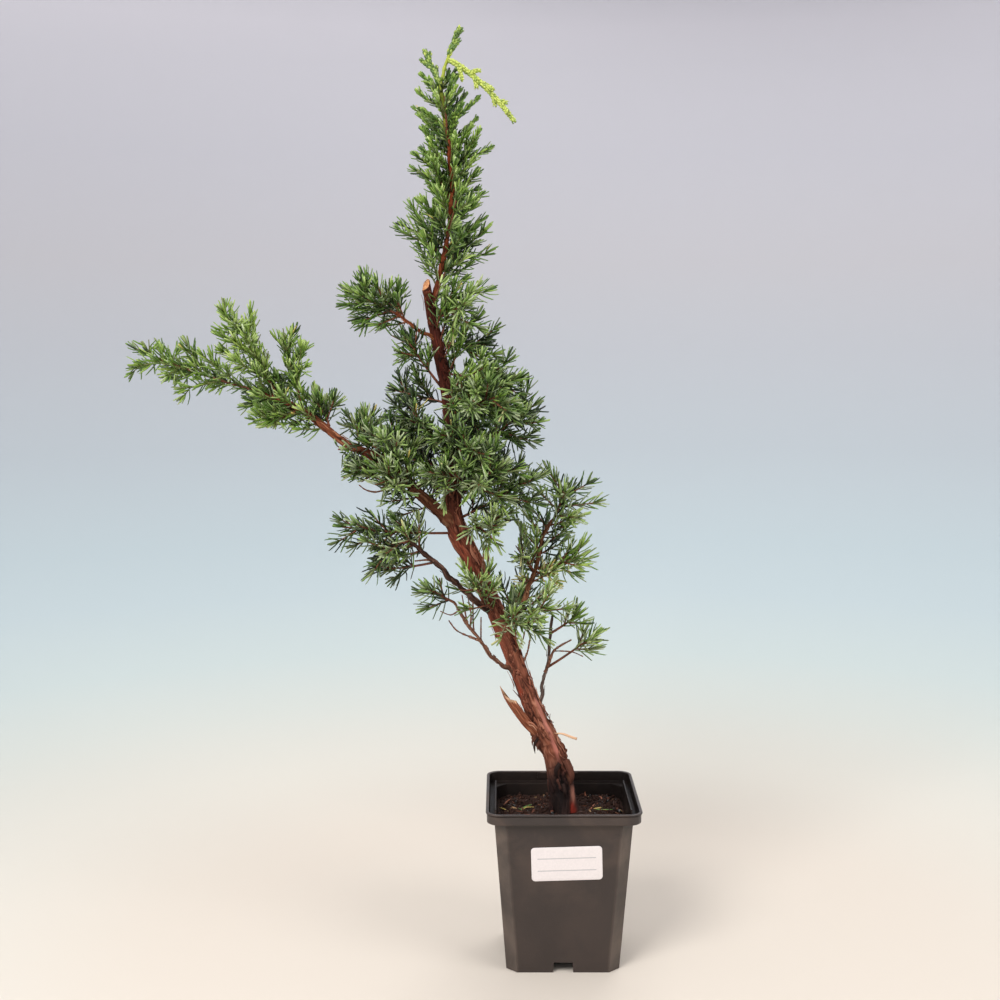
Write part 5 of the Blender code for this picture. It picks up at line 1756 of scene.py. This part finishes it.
def make_spur(bark):
    """A splintered shard: a flat tube whose torn upper edge leaves one long splinter on its left.

    a runs across the shard from left to right and b up it; the height that b reaches is
    torn(a) = shoulder + teeth, and 1 in the narrow splinter.
    """
    rows, across = 80, 44
    a = np.linspace(-1.0, 1.0, across)
    teeth = 0.045 * lattice_noise((a + 1) * 7, np.zeros(across), 64, 71)
    splinter = np.exp(-((a + 0.88) / 0.13) ** 4)
    torn = (0.74 - 0.08 * a + teeth) * (1 - splinter) + splinter
    b = np.linspace(0.0, 1.0, rows)[:, None] * torn[None]
    curve = smooth_curve(SPUR_PATH, 200)
    centre = np.stack([np.interp(b * 199, np.arange(200), curve[:, k]) for k in range(3)], axis=-1)
    right = unit(np.array([0.8, -0.25, 0.52]))
    out = unit(np.cross(unit(curve[-1] - curve[0]), right))
    half = SPUR_HALF * (1.04 - 0.1 * b) * np.clip(1 - 0.4 * (b - 0.82) / 0.18, 0.6, 1)
    fibres = lattice_noise(np.broadcast_to((a + 1) * 11, b.shape), b * 9, 64, 72)
    sheet = centre + (a * half)[..., None] * right
    thick = 0.0013 * np.sqrt(np.clip(1 - a**2, 0.03, 1)) * (1.35 - 1.05 * b / torn) + 0.00028 * fibres
    vertices = np.concatenate([sheet - thick[..., None] * out,
                               (sheet + thick[..., None] * out)[:, ::-1]], axis=1)
    heap = Heap()
    heap.add_closed(vertices, [vertices[0].mean(axis=0), vertices[-1].mean(axis=0)])
    spur = heap.piece("spur_shard", [bark], smooth=True)
    level = np.clip(0.5 + 0.5 * fibres, 0, 1)[..., None]
    dark, mid, light = (np.array(linear(colour)) for colour in SPUR_TONES)
    tones = np.where(level < 0.5, dark + 2 * level * (mid - dark), mid + (2 * level - 1) * (light - mid))
    edge = 0.7 * np.clip((b - torn + 0.016) / 0.016, 0, 1)[..., None]
    tones = tones + edge * (np.array(linear(TORN_COLOUR)) - tones)
    places = np.stack(np.broadcast_arrays(0.004 * np.concatenate([a, a[::-1]]),
                                          0.02 * (np.arange(2 * across) < across),
                                          np.concatenate([b, b[:, ::-1]], axis=1) * 0.05), axis=-1)
    finish_bark(spur, ended(places), ended(np.concatenate([tones, tones[:, ::-1]], axis=1)))
    mend_normals(spur)
    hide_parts("bark_spur")


def mend_normals(piece):
    """Turn a closed mesh's faces outwards."""
    work = bmesh.new()
    work.from_mesh(piece.data)
    bmesh.ops.recalc_face_normals(work, faces=work.faces[:])
    work.to_mesh(piece.data)
    work.free()


STRIP_POINTS = 15
STRIP_THICKNESS = 0.00015
# Colours of the shreds that show by themselves
SHRED_COLOURS = ((40, 25, 20), (84, 48, 36), (124, 74, 56), (158, 104, 80), (176, 128, 102), (206, 164, 130))
# Strips on each limb: how many
LIMB_STRIPS = {"long_bough": 60, "low_left_bough": 20, "lowest_twig": 22, "right_twig": 22, "right_bough": 20,
               "leader": 24, "upper_left_bough": 6}

# Shreds that show by themselves: points, half width, and which strip colour
LOOSE_SHREDS = (
    (((-0.0175, -0.006, 0.1618), (-0.0201, -0.009, 0.1575), (-0.0197, -0.01, 0.1514)), 0.001, 0),
    (((-0.0161, -0.008, 0.1601), (-0.0179, -0.01, 0.157), (-0.0176, -0.01, 0.1533)), 0.0008, 1),
    (((-0.0189, -0.006, 0.164), (-0.0215, -0.009, 0.1604), (-0.0215, -0.009, 0.1567)), 0.0008, 1),
    (((0.0028, -0.008, 0.1461), (0.0056, -0.0105, 0.1401), (0.007, -0.0115, 0.1345),
      (0.006, -0.0105, 0.1282)), 0.0025, 1),
    (((-0.0017, -0.0095, 0.144), (-0.0046, -0.0115, 0.1394), (-0.0038, -0.0105, 0.1331)), 0.0016, 0),
    (((0.0005, -0.011, 0.1294), (0.0019, -0.013, 0.1241), (0.0013, -0.0115, 0.1185)), 0.0013, 0),
    (((0.0107, -0.007, 0.1614), (0.0064, -0.007, 0.1628), (0.0006, -0.006, 0.1648), (-0.0058, -0.004, 0.165)),
     0.0009, 5),
    (((-0.0248, -0.01, 0.1747), (-0.0213, -0.0125, 0.1742), (-0.0176, -0.012, 0.1701)), 0.0005, 3),
    (((-0.0241, -0.01, 0.1725), (-0.0213, -0.0125, 0.1724), (-0.0184, -0.012, 0.1686)), 0.0004, 4),
)


def strip_mesh(centres, rights, half):
    """A thin closed strip along a line: four corners at each point, and flat ends."""
    outs = STRIP_THICKNESS * unit(np.cross(rights, np.gradient(centres, axis=0)))
    wide = rights * half[:, None]
    corners = np.stack([centres - wide - outs, centres + wide - outs,
                        centres + wide + outs, centres - wide + outs], axis=1)
    rows = len(centres)
    ends = np.array([[3, 2, 1, 0], [4 * rows - 4, 4 * rows - 3, 4 * rows - 2, 4 * rows - 1]])
    return corners.reshape(-1, 3), np.concatenate([grid_faces(rows, 4), ends])


def peeling_strip(line, radius, band, chance):
    """One strip's middle line, sideways directions and half width: it follows the limb, then lifts and curls.

    In a flaky band strips are short and wide, and lie round the band's middle.
    """
    along = lengths_along(line)
    scale = float(np.clip(radius.max() / FULL_RELIEF, 0.3, 1.0))
    length = scale * chance.uniform(0.004, 0.02)
    start = chance.uniform(0.004, along[-1] - length - 0.004)
    way = chance.uniform(0, 2 * pi)
    wide = 1.0
    if band:
        length = chance.uniform(0.003, 0.01)
        start = float(np.clip(band[0] + 0.6 * band[2] * chance.normal(), 0.004, along[-1] - length - 0.004))
        way = radians(band[1] + 0.6 * band[3] * chance.normal())
        wide = 1.15
    t = np.linspace(0.0, 1.0, STRIP_POINTS)
    where = start + length * t
    turn = way + (chance.uniform(-0.3, 0.3) * t + 0.12 * np.sin(5 * t + 40 * start)) * (0.25 if band else 1.0)
    lift = scale * chance.uniform(0.0003, 0.001)
    lift *= 1.0 if chance.random() < 0.68 else chance.uniform(1.5, 3.0)
    fray = lift * np.clip((t - 0.4) / 0.6, 0, 1) ** 1.6
    if chance.random() < 0.35:
        fray = fray + 0.7 * lift * np.clip((0.35 - t) / 0.35, 0, 1) ** 1.6
    if chance.random() < 0.5:
        fray = fray[::-1]
    _, side, top = frames(line)
    centre, side, top = (at_lengths(field, along, where) for field in (line, side, top))
    out = spokes(turn, side, top)
    rise = np.interp(where, along, radius) * (CORE + 0.02) + 0.0004 * scale + fray
    centres = centre + rise[:, None] * out
    half = wide * (0.35 + 0.65 * scale) * chance.uniform(0.0002, 0.001) * np.clip(5 * t * (1 - t) + 0.2, 0, 1)
    half = half * (1 + 0.3 * np.sin(9 * t + 50 * start))
    return where, centres, unit(np.cross(np.gradient(centres, axis=0), out)), half


def make_strips(count, bark):
    """Bark peeling off in strips all over the trunk and limbs, and the shreds that hang by themselves."""
    chance = np.random.default_rng(81)
    made = []
    for name, (line, radius) in limb_lines().items():
        fine = evenly(line, 400)
        ends = BARK_RADII.get(name)
        radius = np.linspace(*ends, len(line)) if ends else radius
        thick = np.interp(lengths_along(fine), lengths_along(line), radius)
        for number in range(count if name == "trunk" else LIMB_STRIPS[name]):
            band = FLAKY_BANDS[number % len(FLAKY_BANDS)] if name == "trunk" and number % 3 else None
            where, *strip = peeling_strip(fine, thick, band, chance)
            level = chance.uniform(0.05, 0.7 if band else 1.0) + np.linspace(-0.1, 0.1, STRIP_POINTS)
            made.append((*strip, tones_at(name, where, level)))
    for points, half, colour in LOOSE_SHREDS:
        centres = smooth_curve(points, STRIP_POINTS)
        rights = unit(np.cross(np.gradient(centres, axis=0), np.array([0.2, -1.0, 0.1])))
        made.append((centres, rights, half * np.clip(1.05 - np.linspace(0, 1, STRIP_POINTS) ** 3, 0.1, 1.0),
                     np.tile(linear(SHRED_COLOURS[colour]), (STRIP_POINTS, 1))))
    heap = Heap()
    places, tints = [], []
    for number, (centres, rights, half, tones) in enumerate(made):
        heap.add(*strip_mesh(centres, rights, half))
        tints.append(np.repeat(tones, 4, axis=0))
        across = np.stack([-half, half, half, -half], axis=1).ravel()
        places.append(np.column_stack([across, np.full(len(across), 0.003 * number),
                                       np.repeat(lengths_along(centres), 4)]))
    strips = heap.piece("bark_strips", [bark])
    finish_bark(strips, np.vstack(places), np.vstack(tints))
    mend_normals(strips)


# Bare twigs


# Dead and bare twigs: points, foot radius, tip radius
BARE_TWIGS = (
    (((-0.0586, -0.013, 0.2346), (-0.0643, -0.014, 0.237), (-0.0728, -0.015, 0.2408),
      (-0.077, -0.016, 0.2439), (-0.0813, -0.017, 0.25)), 0.001, 0.0005),
    (((-0.0678, -0.016, 0.246), (-0.0698, -0.018, 0.2565), (-0.0719, -0.02, 0.269)), 0.0008, 0.0004),
    (((-0.0664, -0.015, 0.2444), (-0.0656, -0.017, 0.2542), (-0.0677, -0.019, 0.2674)), 0.0007, 0.0004),
    (((-0.0636, -0.014, 0.2406), (-0.0642, -0.016, 0.2518), (-0.0642, -0.018, 0.2637)), 0.0007, 0.0005),
    (((-0.0586, -0.012, 0.2351), (-0.0586, -0.013, 0.2433), (-0.0585, -0.014, 0.252)), 0.0007, 0.0004),
    (((-0.0122, 0.006, 0.2078), (-0.0093, 0.005, 0.2147), (-0.0065, 0.004, 0.223), (-0.0014, 0.004, 0.2275),
      (0.0066, 0.004, 0.2319)), 0.0012, 0.0006),
    (((-0.0072, 0.005, 0.2228), (-0.0036, 0.003, 0.224), (0.0072, 0.002, 0.2235), (0.015, 0.001, 0.2205)),
     0.0006, 0.0004),
    (((-0.0342, -0.004, 0.2247), (-0.0292, -0.007, 0.2326), (-0.0271, -0.009, 0.2411)), 0.0007, 0.0004),
    (((-0.0277, -0.004, 0.2181), (-0.0249, -0.007, 0.2268), (-0.0235, -0.01, 0.2362)), 0.0008, 0.0005),
    (((-0.0544, -0.002, 0.26), (-0.0529, -0.005, 0.2809), (-0.0536, -0.007, 0.2976),
      (-0.0514, -0.009, 0.3099)), 0.0011, 0.0006),
    (((-0.0594, -0.004, 0.27), (-0.0576, -0.009, 0.2851), (-0.0564, -0.01, 0.3032)), 0.0009, 0.0005),
    (((-0.0902, -0.02, 0.2919), (-0.0958, -0.021, 0.2942), (-0.1049, -0.022, 0.2936)), 0.0009, 0.0005),
    (((-0.053, -0.004, 0.256), (-0.0664, -0.012, 0.2684), (-0.0792, -0.013, 0.2765)), 0.0012, 0.0006),
    (((-0.074, -0.021, 0.258), (-0.08, -0.024, 0.2555), (-0.087, -0.026, 0.2585)), 0.0006, 0.0003),
    (((-0.1249, -0.022, 0.3446), (-0.1316, -0.026, 0.3429), (-0.1382, -0.03, 0.3447),
      (-0.1429, -0.032, 0.3484)), 0.0008, 0.0004),
)


def make_bare_twigs(bark):
    """The bare forks low on the plant, each a tapering tube with bumps where leaves fell."""
    heap = Heap()
    places, tints = [], []
    points, sides = 48, 8
    for number, (path, foot, tip) in enumerate(BARE_TWIGS):
        line = smooth_curve(path, points)
        knobs = lattice_noise(np.full(points, 0.5), np.arange(points) / 1.9, 4, 300 + number)
        radius = np.linspace(foot, tip, points) * (1 + 0.42 * knobs)
        vertices, faces = tubes(line[None], radius[None], sides)
        heap.add(vertices, faces)
        along = np.append(np.repeat(lengths_along(line), sides), [0.0, 0.0])
        places.append(np.column_stack([vertices[:, :2], along]))
        # Knobs lighter, like the bark's ridges: partly its own colour, partly a painted highlight.
        level = 0.45 + 0.4 * np.append(np.repeat(knobs, sides), [0, 0])
        tints.append(tones_at("lowest_twig", along, np.clip(level, 0, 1)))
    twigs = heap.piece("bare_twigs", [bark], smooth=True)
    finish_bark(twigs, np.vstack(places), np.vstack(tints))


# Foliage


@dataclass
class Look:
    """How a shoot's needles look; lean is from the shoot, in degrees, at its foot and at its tip."""

    length: float
    width: float
    step: float
    lean: float
    tip_lean: float
    tone: float
    grey: float


# Rings of a needle: share of its length, width and depth as shares of its full width
NEEDLE_RINGS = ((0.0, 0.72, 0.4), (0.45, 1.0, 0.5), (0.9, 0.84, 0.4))
NEEDLE_CORNERS = 10
# Degrees that needles lean from their shoot, at its foot and at its tip
LEAN = 60.0
TIP_LEAN = 34.0
UPTURN = 0.12
TUFT_NEEDLES = 4
DEEP_SHADE = 1.0
INNER_SHADE = 0.8
INNER_REACH = 0.007
BOX_MARGIN = 0.0012


def needle_blades(roots, ways, tops, lengths, widths, bends):
    """Closed blades of sixteen triangles: three rings of three corners and a tip.

    A blade's middle line is root + way * length * t + top * bend * length * t squared. Its flat
    upper face looks along top and its keel away from it.
    """
    side = np.cross(ways, tops)
    count = len(roots)
    vertices = np.empty((count, NEEDLE_CORNERS, 3))
    for ring, (t, wide, deep) in enumerate(NEEDLE_RINGS):
        middle = roots + ways * (lengths * t)[:, None] + tops * (bends * lengths * t * t)[:, None]
        half = (0.5 * widths * wide)[:, None]
        vertices[:, 3 * ring] = middle + side * half
        vertices[:, 3 * ring + 1] = middle - side * half
        vertices[:, 3 * ring + 2] = middle - tops * (widths * deep)[:, None]
    vertices[:, -1] = roots + ways * lengths[:, None] + tops * (bends * lengths)[:, None]
    top_faces = [(0, 1, 4), (0, 4, 3), (3, 4, 7), (3, 7, 6), (6, 7, 9)]
    low_faces = [(2, 1, 0), (7, 8, 9), (8, 6, 9)]
    for ring in (0, 3):
        for a, b in ((1, 2), (2, 0)):
            low_faces += [(ring + a, ring + b, ring + 3 + b), (ring + a, ring + 3 + b, ring + 3 + a)]
    pattern = np.array(top_faces + low_faces)
    faces = pattern[None] + (NEEDLE_CORNERS * np.arange(count))[:, None, None]
    return vertices.reshape(-1, 3), faces.reshape(-1, 3), len(top_faces), len(pattern)


def around_axis(axis, place, turn):
    """Points at lengths along a shoot, its direction there, and the way out from it at the given turns."""
    steps = lengths_along(axis)
    tangent, _, top = frames(axis)
    way = unit(at_lengths(tangent, steps, place))
    across = unit(np.cross(at_lengths(top, steps, place), way))
    return at_lengths(axis, steps, place), way, spokes(turn, across, np.cross(way, across))


class Needles:
    """Needles by shoot, as rows of root, direction, upper side, size, width, bend, tone and grey."""

    def __init__(self):
        self.rows = []

    def collect(self, root, way, out, tilt, size, width, bend, tone, grey):
        """Needles that lean from the shoot's direction way towards out, and turn up a little to the light."""
        needle = unit(spokes(tilt, way, out) + np.array([0.0, 0.0, UPTURN]))
        upper = spokes(tilt, -out, way)
        upper = unit(upper - np.sum(upper * needle, axis=1)[:, None] * needle)
        self.rows.append(np.column_stack([root, needle, upper, size, width, bend, tone,
                                          np.full(len(root), grey)]))

    def along(self, axis, first, rim, look, chance):
        """Whorls of three along a shoot, each turned against the last; shorter and fresher at its tip."""
        total = lengths_along(axis)[-1]
        places = np.arange(first, total, look.step)
        if len(places) == 0:
            return
        whorl = np.repeat(np.arange(len(places)), 3)
        count = len(whorl)
        turn = chance.uniform(0.0, 2 * pi) + whorl * (pi / 3 + 0.21) + np.arange(count) * 2 * pi / 3
        turn = turn + chance.normal(0.0, 0.2, count)
        place = np.clip(places[whorl] + chance.normal(0.0, 0.18 * look.step, count), 0.0, total)
        share = place / total
        middle, way, out = around_axis(axis, place, turn)
        tilt = np.radians(look.lean + (look.tip_lean - look.lean) * share**1.6
                          + chance.normal(0.0, 8.0, count))
        size = look.length * np.clip(0.8 + 1.2 * share, 0, 1) * (1 - 0.2 * share**3)
        self.collect(middle + rim * out, way, out, tilt, size * chance.uniform(0.7, 1.12, count),
                     look.width * chance.uniform(0.88, 1.1, count), chance.normal(0.15, 0.1, count),
                     look.tone + 0.35 * share**2 + chance.normal(0, 0.62, count), look.grey)

    def tuft(self, axis, look, chance):
        """Short needles round a shoot's tip."""
        tangent, side, top = frames(axis)
        turn = 2 * pi * np.arange(TUFT_NEEDLES) / TUFT_NEEDLES + chance.normal(0, 0.3, TUFT_NEEDLES)
        way = np.tile(tangent[-1], (TUFT_NEEDLES, 1))
        self.collect(np.tile(axis[-1] - 0.0006 * tangent[-1], (TUFT_NEEDLES, 1)), way,
                     spokes(turn, side[-1], top[-1]), np.radians(chance.uniform(8, 34, TUFT_NEEDLES)),
                     look.length * chance.uniform(0.6, 0.92, TUFT_NEEDLES), np.full(TUFT_NEEDLES, look.width),
                     np.full(TUFT_NEEDLES, 0.04), look.tone + 0.45 + chance.normal(0, 0.6, TUFT_NEEDLES),
                     look.grey)


def needle_materials():
    """Plain finishes: the green ramp, the grey one and a dry one, then each with bloom and a painted
    highlight for upper faces.
    """
    colours = [*GREEN_RAMP, *GREY_RAMP, DRY_COLOUR]
    made = [new_material(f"needle_{k}", linear(colour), 0.45, Specular_IOR_Level=0.4)
            for k, colour in enumerate(colours)]
    for number, colour in enumerate(colours):
        share = GREY_BLOOM_AND_HIGHLIGHT if number >= len(GREEN_RAMP) else GREEN_BLOOM_AND_HIGHLIGHT
        bloom_highlight_colour = tuple((1 - share) * a + share * b for a, b in zip(colour, BLOOM_AND_HIGHLIGHT_COLOUR))
        made.append(new_material(f"needle_bloom_{number}", linear(bloom_highlight_colour), 0.55, Specular_IOR_Level=0.3))
    return made


def needle_kinds(level, grey, dry, chance):
    """Which finish each needle takes, from its place on the ramp and how grey its spray is."""
    step = np.clip(np.round(level), 0, len(GREEN_RAMP) - 1).astype(int)
    kinds = np.where(chance.random(len(level)) < grey, step + len(GREEN_RAMP), step)
    return np.where(chance.random(len(level)) < dry, len(GREEN_RAMP) + len(GREY_RAMP), kinds)


def seen_from_front(points):
    """Where each point shows on the upright plane through the pot's middle, as x and z."""
    eye = np.array(CAMERA_PLACE)
    share = -eye[1] / (points[:, 1] - eye[1])
    return eye[[0, 2]] + (points[:, [0, 2]] - eye[[0, 2]]) * share[:, None]


def in_clearings(points):
    """Whether each point shows in one of the crown's gaps, each a leaning ellipse."""
    x, z = seen_from_front(points).T
    hit = np.zeros(len(points), bool)
    for centre_x, centre_z, wide, high, lean in CLEARINGS:
        c, s = cos(radians(lean)), sin(radians(lean))
        a = c * (x - centre_x) + s * (z - centre_z)
        b = c * (z - centre_z) - s * (x - centre_x)
        hit |= (a / wide) ** 2 + (b / high) ** 2 < 1
    return hit


def veils_bark(points, lines, chance):
    """Whether each point hides a stretch of a limb that shows bare from the front."""
    seen = seen_from_front(points)
    hit = np.zeros(len(points), bool)
    for limb, first, last, half, share in BARE_BARK:
        line = evenly(lines[limb][0], 200)[int(200 * first):int(200 * last)]
        gap = np.linalg.norm(seen[:, None] - seen_from_front(line)[None], axis=2)
        near = gap.argmin(axis=1)
        inside = gap[np.arange(len(points)), near] < half
        hit |= inside & (points[:, 1] < line[near, 1]) & (chance.random(len(points)) < share)
    return hit


def needle_piece(dress, table, lines, hindrance, materials, chance):
    """A dress's needles from their table, leaving out those in the wood, in a gap or past the box."""
    root, way, top = table[:, 0:3], table[:, 3:6], table[:, 6:9]
    size, thick, bend, level, grey = table[:, 9:14].T
    middle = root + 0.5 * way * size[:, None]
    tip = root + way * size[:, None] + top * (bend * size)[:, None]
    low, high = np.array(CAD_BOX) + np.array([[BOX_MARGIN], [-BOX_MARGIN]])
    clear = ((tip > low) & (tip < high)).all(axis=1)
    for points in (middle, tip):
        clear &= ~hindrance.inside(points, NEEDLE_MARGIN) & ~in_clearings(points)
    clear &= ~veils_bark(root + 0.3 * way * size[:, None], lines, chance) & ~veils_bark(tip, lines, chance)
    kept = (part[clear] for part in (root, way, top, size, thick, bend))
    vertices, faces, upper, each = needle_blades(*kept)
    level = level - DEEP_SHADE * np.clip((root[:, 1] + 0.005) / 0.035, 0, 1)
    level = level - INNER_SHADE * hindrance.inside(root, INNER_REACH)
    per_face = np.repeat(needle_kinds(level[clear], grey[clear], dress.dry, chance)[:, None], each, axis=1)
    # Upper faces take the paler finish: bloom and a painted highlight.
    per_face[:, :upper] += len(materials) // 2
    # Undersides one step darker: partly their own deeper green, partly painted shade.
    per_face[:, upper:] -= (per_face[:, upper:] % len(GREEN_RAMP) > 0).astype(int)
    heap = Heap()
    heap.add(vertices, faces, per_face.ravel())
    piece = heap.piece("needles_" + dress.name, materials)
    return piece


def twig_piece(name, groups, materials):
    """A piece of tapering tubes along shoots, in groups of (axes, foot, tip, sides, material)."""
    heap = Heap()
    for axes, foot, tip, sides, kind in groups:
        if axes:
            lines = np.array([axis[::2] for axis in axes])
            radii = np.linspace(foot, tip, lines.shape[1])[None] * np.ones((len(axes), 1))
            vertices, faces = tubes(lines, radii, sides)
            heap.add(vertices, faces, kind)
    piece = heap.piece(name, materials, smooth=True)
    return piece


def look_at(axis, dress, settings, shift, chance):
    """A shoot's needles by its height: those near the top are short, blunt and close together."""
    young = float(np.clip((axis[-1, 2] - YOUNG_LOW) / (YOUNG_HIGH - YOUNG_LOW), 0, 1))
    length, width, step, lean, tip_lean = (
        old + (new - old) * young
        for old, new in zip((dress.needle, settings.width, dress.step, LEAN, TIP_LEAN), YOUNG_NEEDLE))
    return Look(length * chance.uniform(0.92, 1.08), width, step, lean, tip_lean,
                dress.tone + shift + 0.4 * young + chance.normal(0, 0.35), dress.grey)


def put_needles(needles, axis, first, rim, dress, settings, shift, chance):
    """Needles and a tip tuft on one shoot."""
    look = look_at(axis, dress, settings, shift, chance)
    needles.along(axis, first, rim, look, chance)
    needles.tuft(axis, look, chance)


def grow_dress(dress, masses, needles, lines, hindrance, settings, chance):
    """A dress's shoots with their needles: its masses', those straight from a limb, and a limb's own."""
    leading, sides, fine = [], [], []
    for mass, seed in masses:
        axes = grow(mass, seed, stem_root(mass, lines))
        lead = trimmed(axes[:1], hindrance, 0.004)
        side = trimmed(axes[1:], hindrance, 0.006)
        finer = trimmed(finer_shoots(lead + side, mass.stem, dress.fine, chance), hindrance, 0.004)
        for axes, bare, shift in ((lead, mass.stem, -0.2), (side, 0.0022, 0.0), (finer, 0.0018, 0.2)):
            for axis in axes:
                put_needles(needles, axis, bare, 0.0003, dress, settings, shift + mass.shift, chance)
        leading += lead
        sides += side
        fine += finer
    for owner, limb, *shoots in LIMB_SHOOTS:
        if owner == dress.name:
            straight = trimmed(shoots_from(*lines[limb], *shoots, chance), hindrance, 0.005)
            for axis in straight:
                put_needles(needles, axis, 0.0015, 0.0003, dress, settings, 0.0, chance)
            sides += straight
    for owner, limb, first, last in LIMB_NEEDLES:
        if owner == dress.name:
            line, radius = lines[limb]
            part = slice(int(first * (len(line) - 1)), int(last * (len(line) - 1)) + 1)
            rim = 0.8 * float(radius[part].mean())
            put_needles(needles, evenly(line[part], AXIS_POINTS), 0.0, rim, dress, settings, 0.0, chance)
    return leading, sides, fine


def make_foliage(settings):
    """Every dress: its masses grown again by the rule, finer shoots on them, needles and twigs."""
    lines = limb_lines()
    hindrance = Hindrance(lines)
    leaves = needle_materials()
    wood = [speckled("twig_bark", (124, 68, 42), (88, 48, 32), 500.0, 0.75),
            new_material("shoot_green", linear((100, 104, 52)), 0.6)]
    for number, dress in enumerate(DRESSES):
        chance = np.random.default_rng(500 + number)
        needles = Needles()
        masses = dressed_masses(dress.name)
        leading, sides, fine = grow_dress(dress, masses, needles, lines, hindrance, settings, chance)
        groups = [(leading, 0.001, 0.0006, 6, 0), (sides, 0.0007, 0.0004, 5, int(dress.name in GREEN_TWIGS)),
                  (fine, 0.0005, 0.0003, 4, 1)]
        pieces = (needle_piece(dress, np.vstack(needles.rows), lines, hindrance, leaves, chance),
                  twig_piece("twigs_" + dress.name, groups, wood))
        solids = [mass.name for mass, _ in masses if mass not in TUFTS]
        for piece in pieces if solids else ():
            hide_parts(*solids)


# Scale-leaved sprays at the top


# A cord's radius, and the length, width and step of its scales
CORD_RADIUS = 0.0012
SCALE_LENGTH = 0.0028
SCALE_WIDTH = 0.0021
SCALE_STEP = 0.0014
# Shares of lime, fresh green and green scales on the drooping shoot, and on the other two
PALE_SHARES = (0.74, 0.24, 0.02)
FRESH_SHARES = (0.08, 0.42, 0.5)


def make_scale_sprays():
    """The newest shoots: cords of small scales pressed to the stem, with short blunt branchlets."""
    lines = limb_lines()
    materials = [new_material("scale_lime", linear((190, 200, 96)), 0.42),
                 new_material("scale_fresh", linear((146, 166, 76)), 0.42),
                 new_material("scale_green", linear((96, 122, 56)), 0.42)]
    chance = np.random.default_rng(701)
    heap = Heap()
    masses = dressed_masses("scales")
    for mass, seed in masses:
        axes = grow(mass, seed, stem_root(mass, lines))
        sides = [evenly(axis[:8 + 4 * (k < 2)], AXIS_POINTS) for k, axis in enumerate(axes[1:])]
        for axis, fat in [(axes[0], 1.15)] + [(side, 1.0) for side in sides]:
            scale_cord(heap, axis, fat, mass.name == "apex_droop", chance)
    piece = heap.piece("scale_sprays", materials)
    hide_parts(*(mass.name for mass, _ in masses))


def scale_cord(heap, axis, fat, pale, chance):
    """One cord: a stem and whorls of short scales that overlap up it, smaller towards the tip."""
    total = lengths_along(axis)[-1]
    places = np.arange(0.0004, total, SCALE_STEP)
    whorl = np.repeat(np.arange(len(places)), 3)
    place = places[whorl]
    count = len(whorl)
    turn = np.arange(count) * 2 * pi / 3 + whorl * pi / 3 + chance.normal(0, 0.1, count)
    middle, way, out = around_axis(axis, place, turn)
    tilt = np.radians(chance.normal(17, 4, count))
    slim = fat * (1.0 - 0.25 * place / total)
    vertices, faces, _, each = needle_blades(
        middle + 0.6 * fat * CORD_RADIUS * out, spokes(tilt, way, out), spokes(tilt, -out, way),
        slim * SCALE_LENGTH * chance.uniform(0.85, 1.15, count), slim * SCALE_WIDTH, np.full(count, 0.15))
    kinds = chance.choice(3, count, p=PALE_SHARES if pale else FRESH_SHARES)
    heap.add(vertices, faces, np.repeat(kinds, each))
    heap.add(*tubes(axis[None], np.full((1, len(axis)), fat * CORD_RADIUS), 6), 0 if pale else 1)


class JUNIPER_OT_foliage(bpy.types.Operator):
    """Grow the twigs, needles and scale-leaved sprays"""

    bl_idname = "juniper.foliage"
    bl_label = "Foliage"

    def execute(self, context):
        make_foliage(context.scene.juniper_foliage)
        make_scale_sprays()
        return {"FINISHED"}


OPERATORS = (JUNIPER_OT_stage, JUNIPER_OT_pot, JUNIPER_OT_label, JUNIPER_OT_soil, JUNIPER_OT_trunk,
             JUNIPER_OT_foliage)
SETTINGS = {"juniper_pot": PotSettings, "juniper_bark": BarkSettings, "juniper_foliage": FoliageSettings,
            "juniper_soil": SoilSettings, "juniper_stage": StageSettings}


class JUNIPER_PT_panel(bpy.types.Panel):
    """The juniper's settings and steps"""

    bl_label = "Juniper"
    bl_idname = "JUNIPER_PT_panel"
    bl_space_type = "VIEW_3D"
    bl_region_type = "UI"
    bl_category = "Juniper"

    def draw(self, context):
        for operator in OPERATORS:
            self.layout.operator(operator.bl_idname)
        for name, group in SETTINGS.items():
            box = self.layout.box()
            for key in group.__annotations__:
                box.prop(getattr(context.scene, name), key)


def register():
    """Register the settings, the steps and the panel."""
    for group in SETTINGS.values():
        bpy.utils.register_class(group)
    for name, group in SETTINGS.items():
        setattr(bpy.types.Scene, name, PointerProperty(type=group))
    for operator in OPERATORS:
        bpy.utils.register_class(operator)
    bpy.utils.register_class(JUNIPER_PT_panel)


def unregister():
    """Take away what register added."""
    bpy.utils.unregister_class(JUNIPER_PT_panel)
    for operator in reversed(OPERATORS):
        bpy.utils.unregister_class(operator)
    for name in SETTINGS:
        delattr(bpy.types.Scene, name)
    for group in SETTINGS.values():
        bpy.utils.unregister_class(group)


def main():
    """Register the add-on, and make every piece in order."""
    register()
    for operator in OPERATORS:
        group, name = operator.bl_idname.split(".")
        getattr(getattr(bpy.ops, group), name)()


if __name__ == "__main__":
    main()
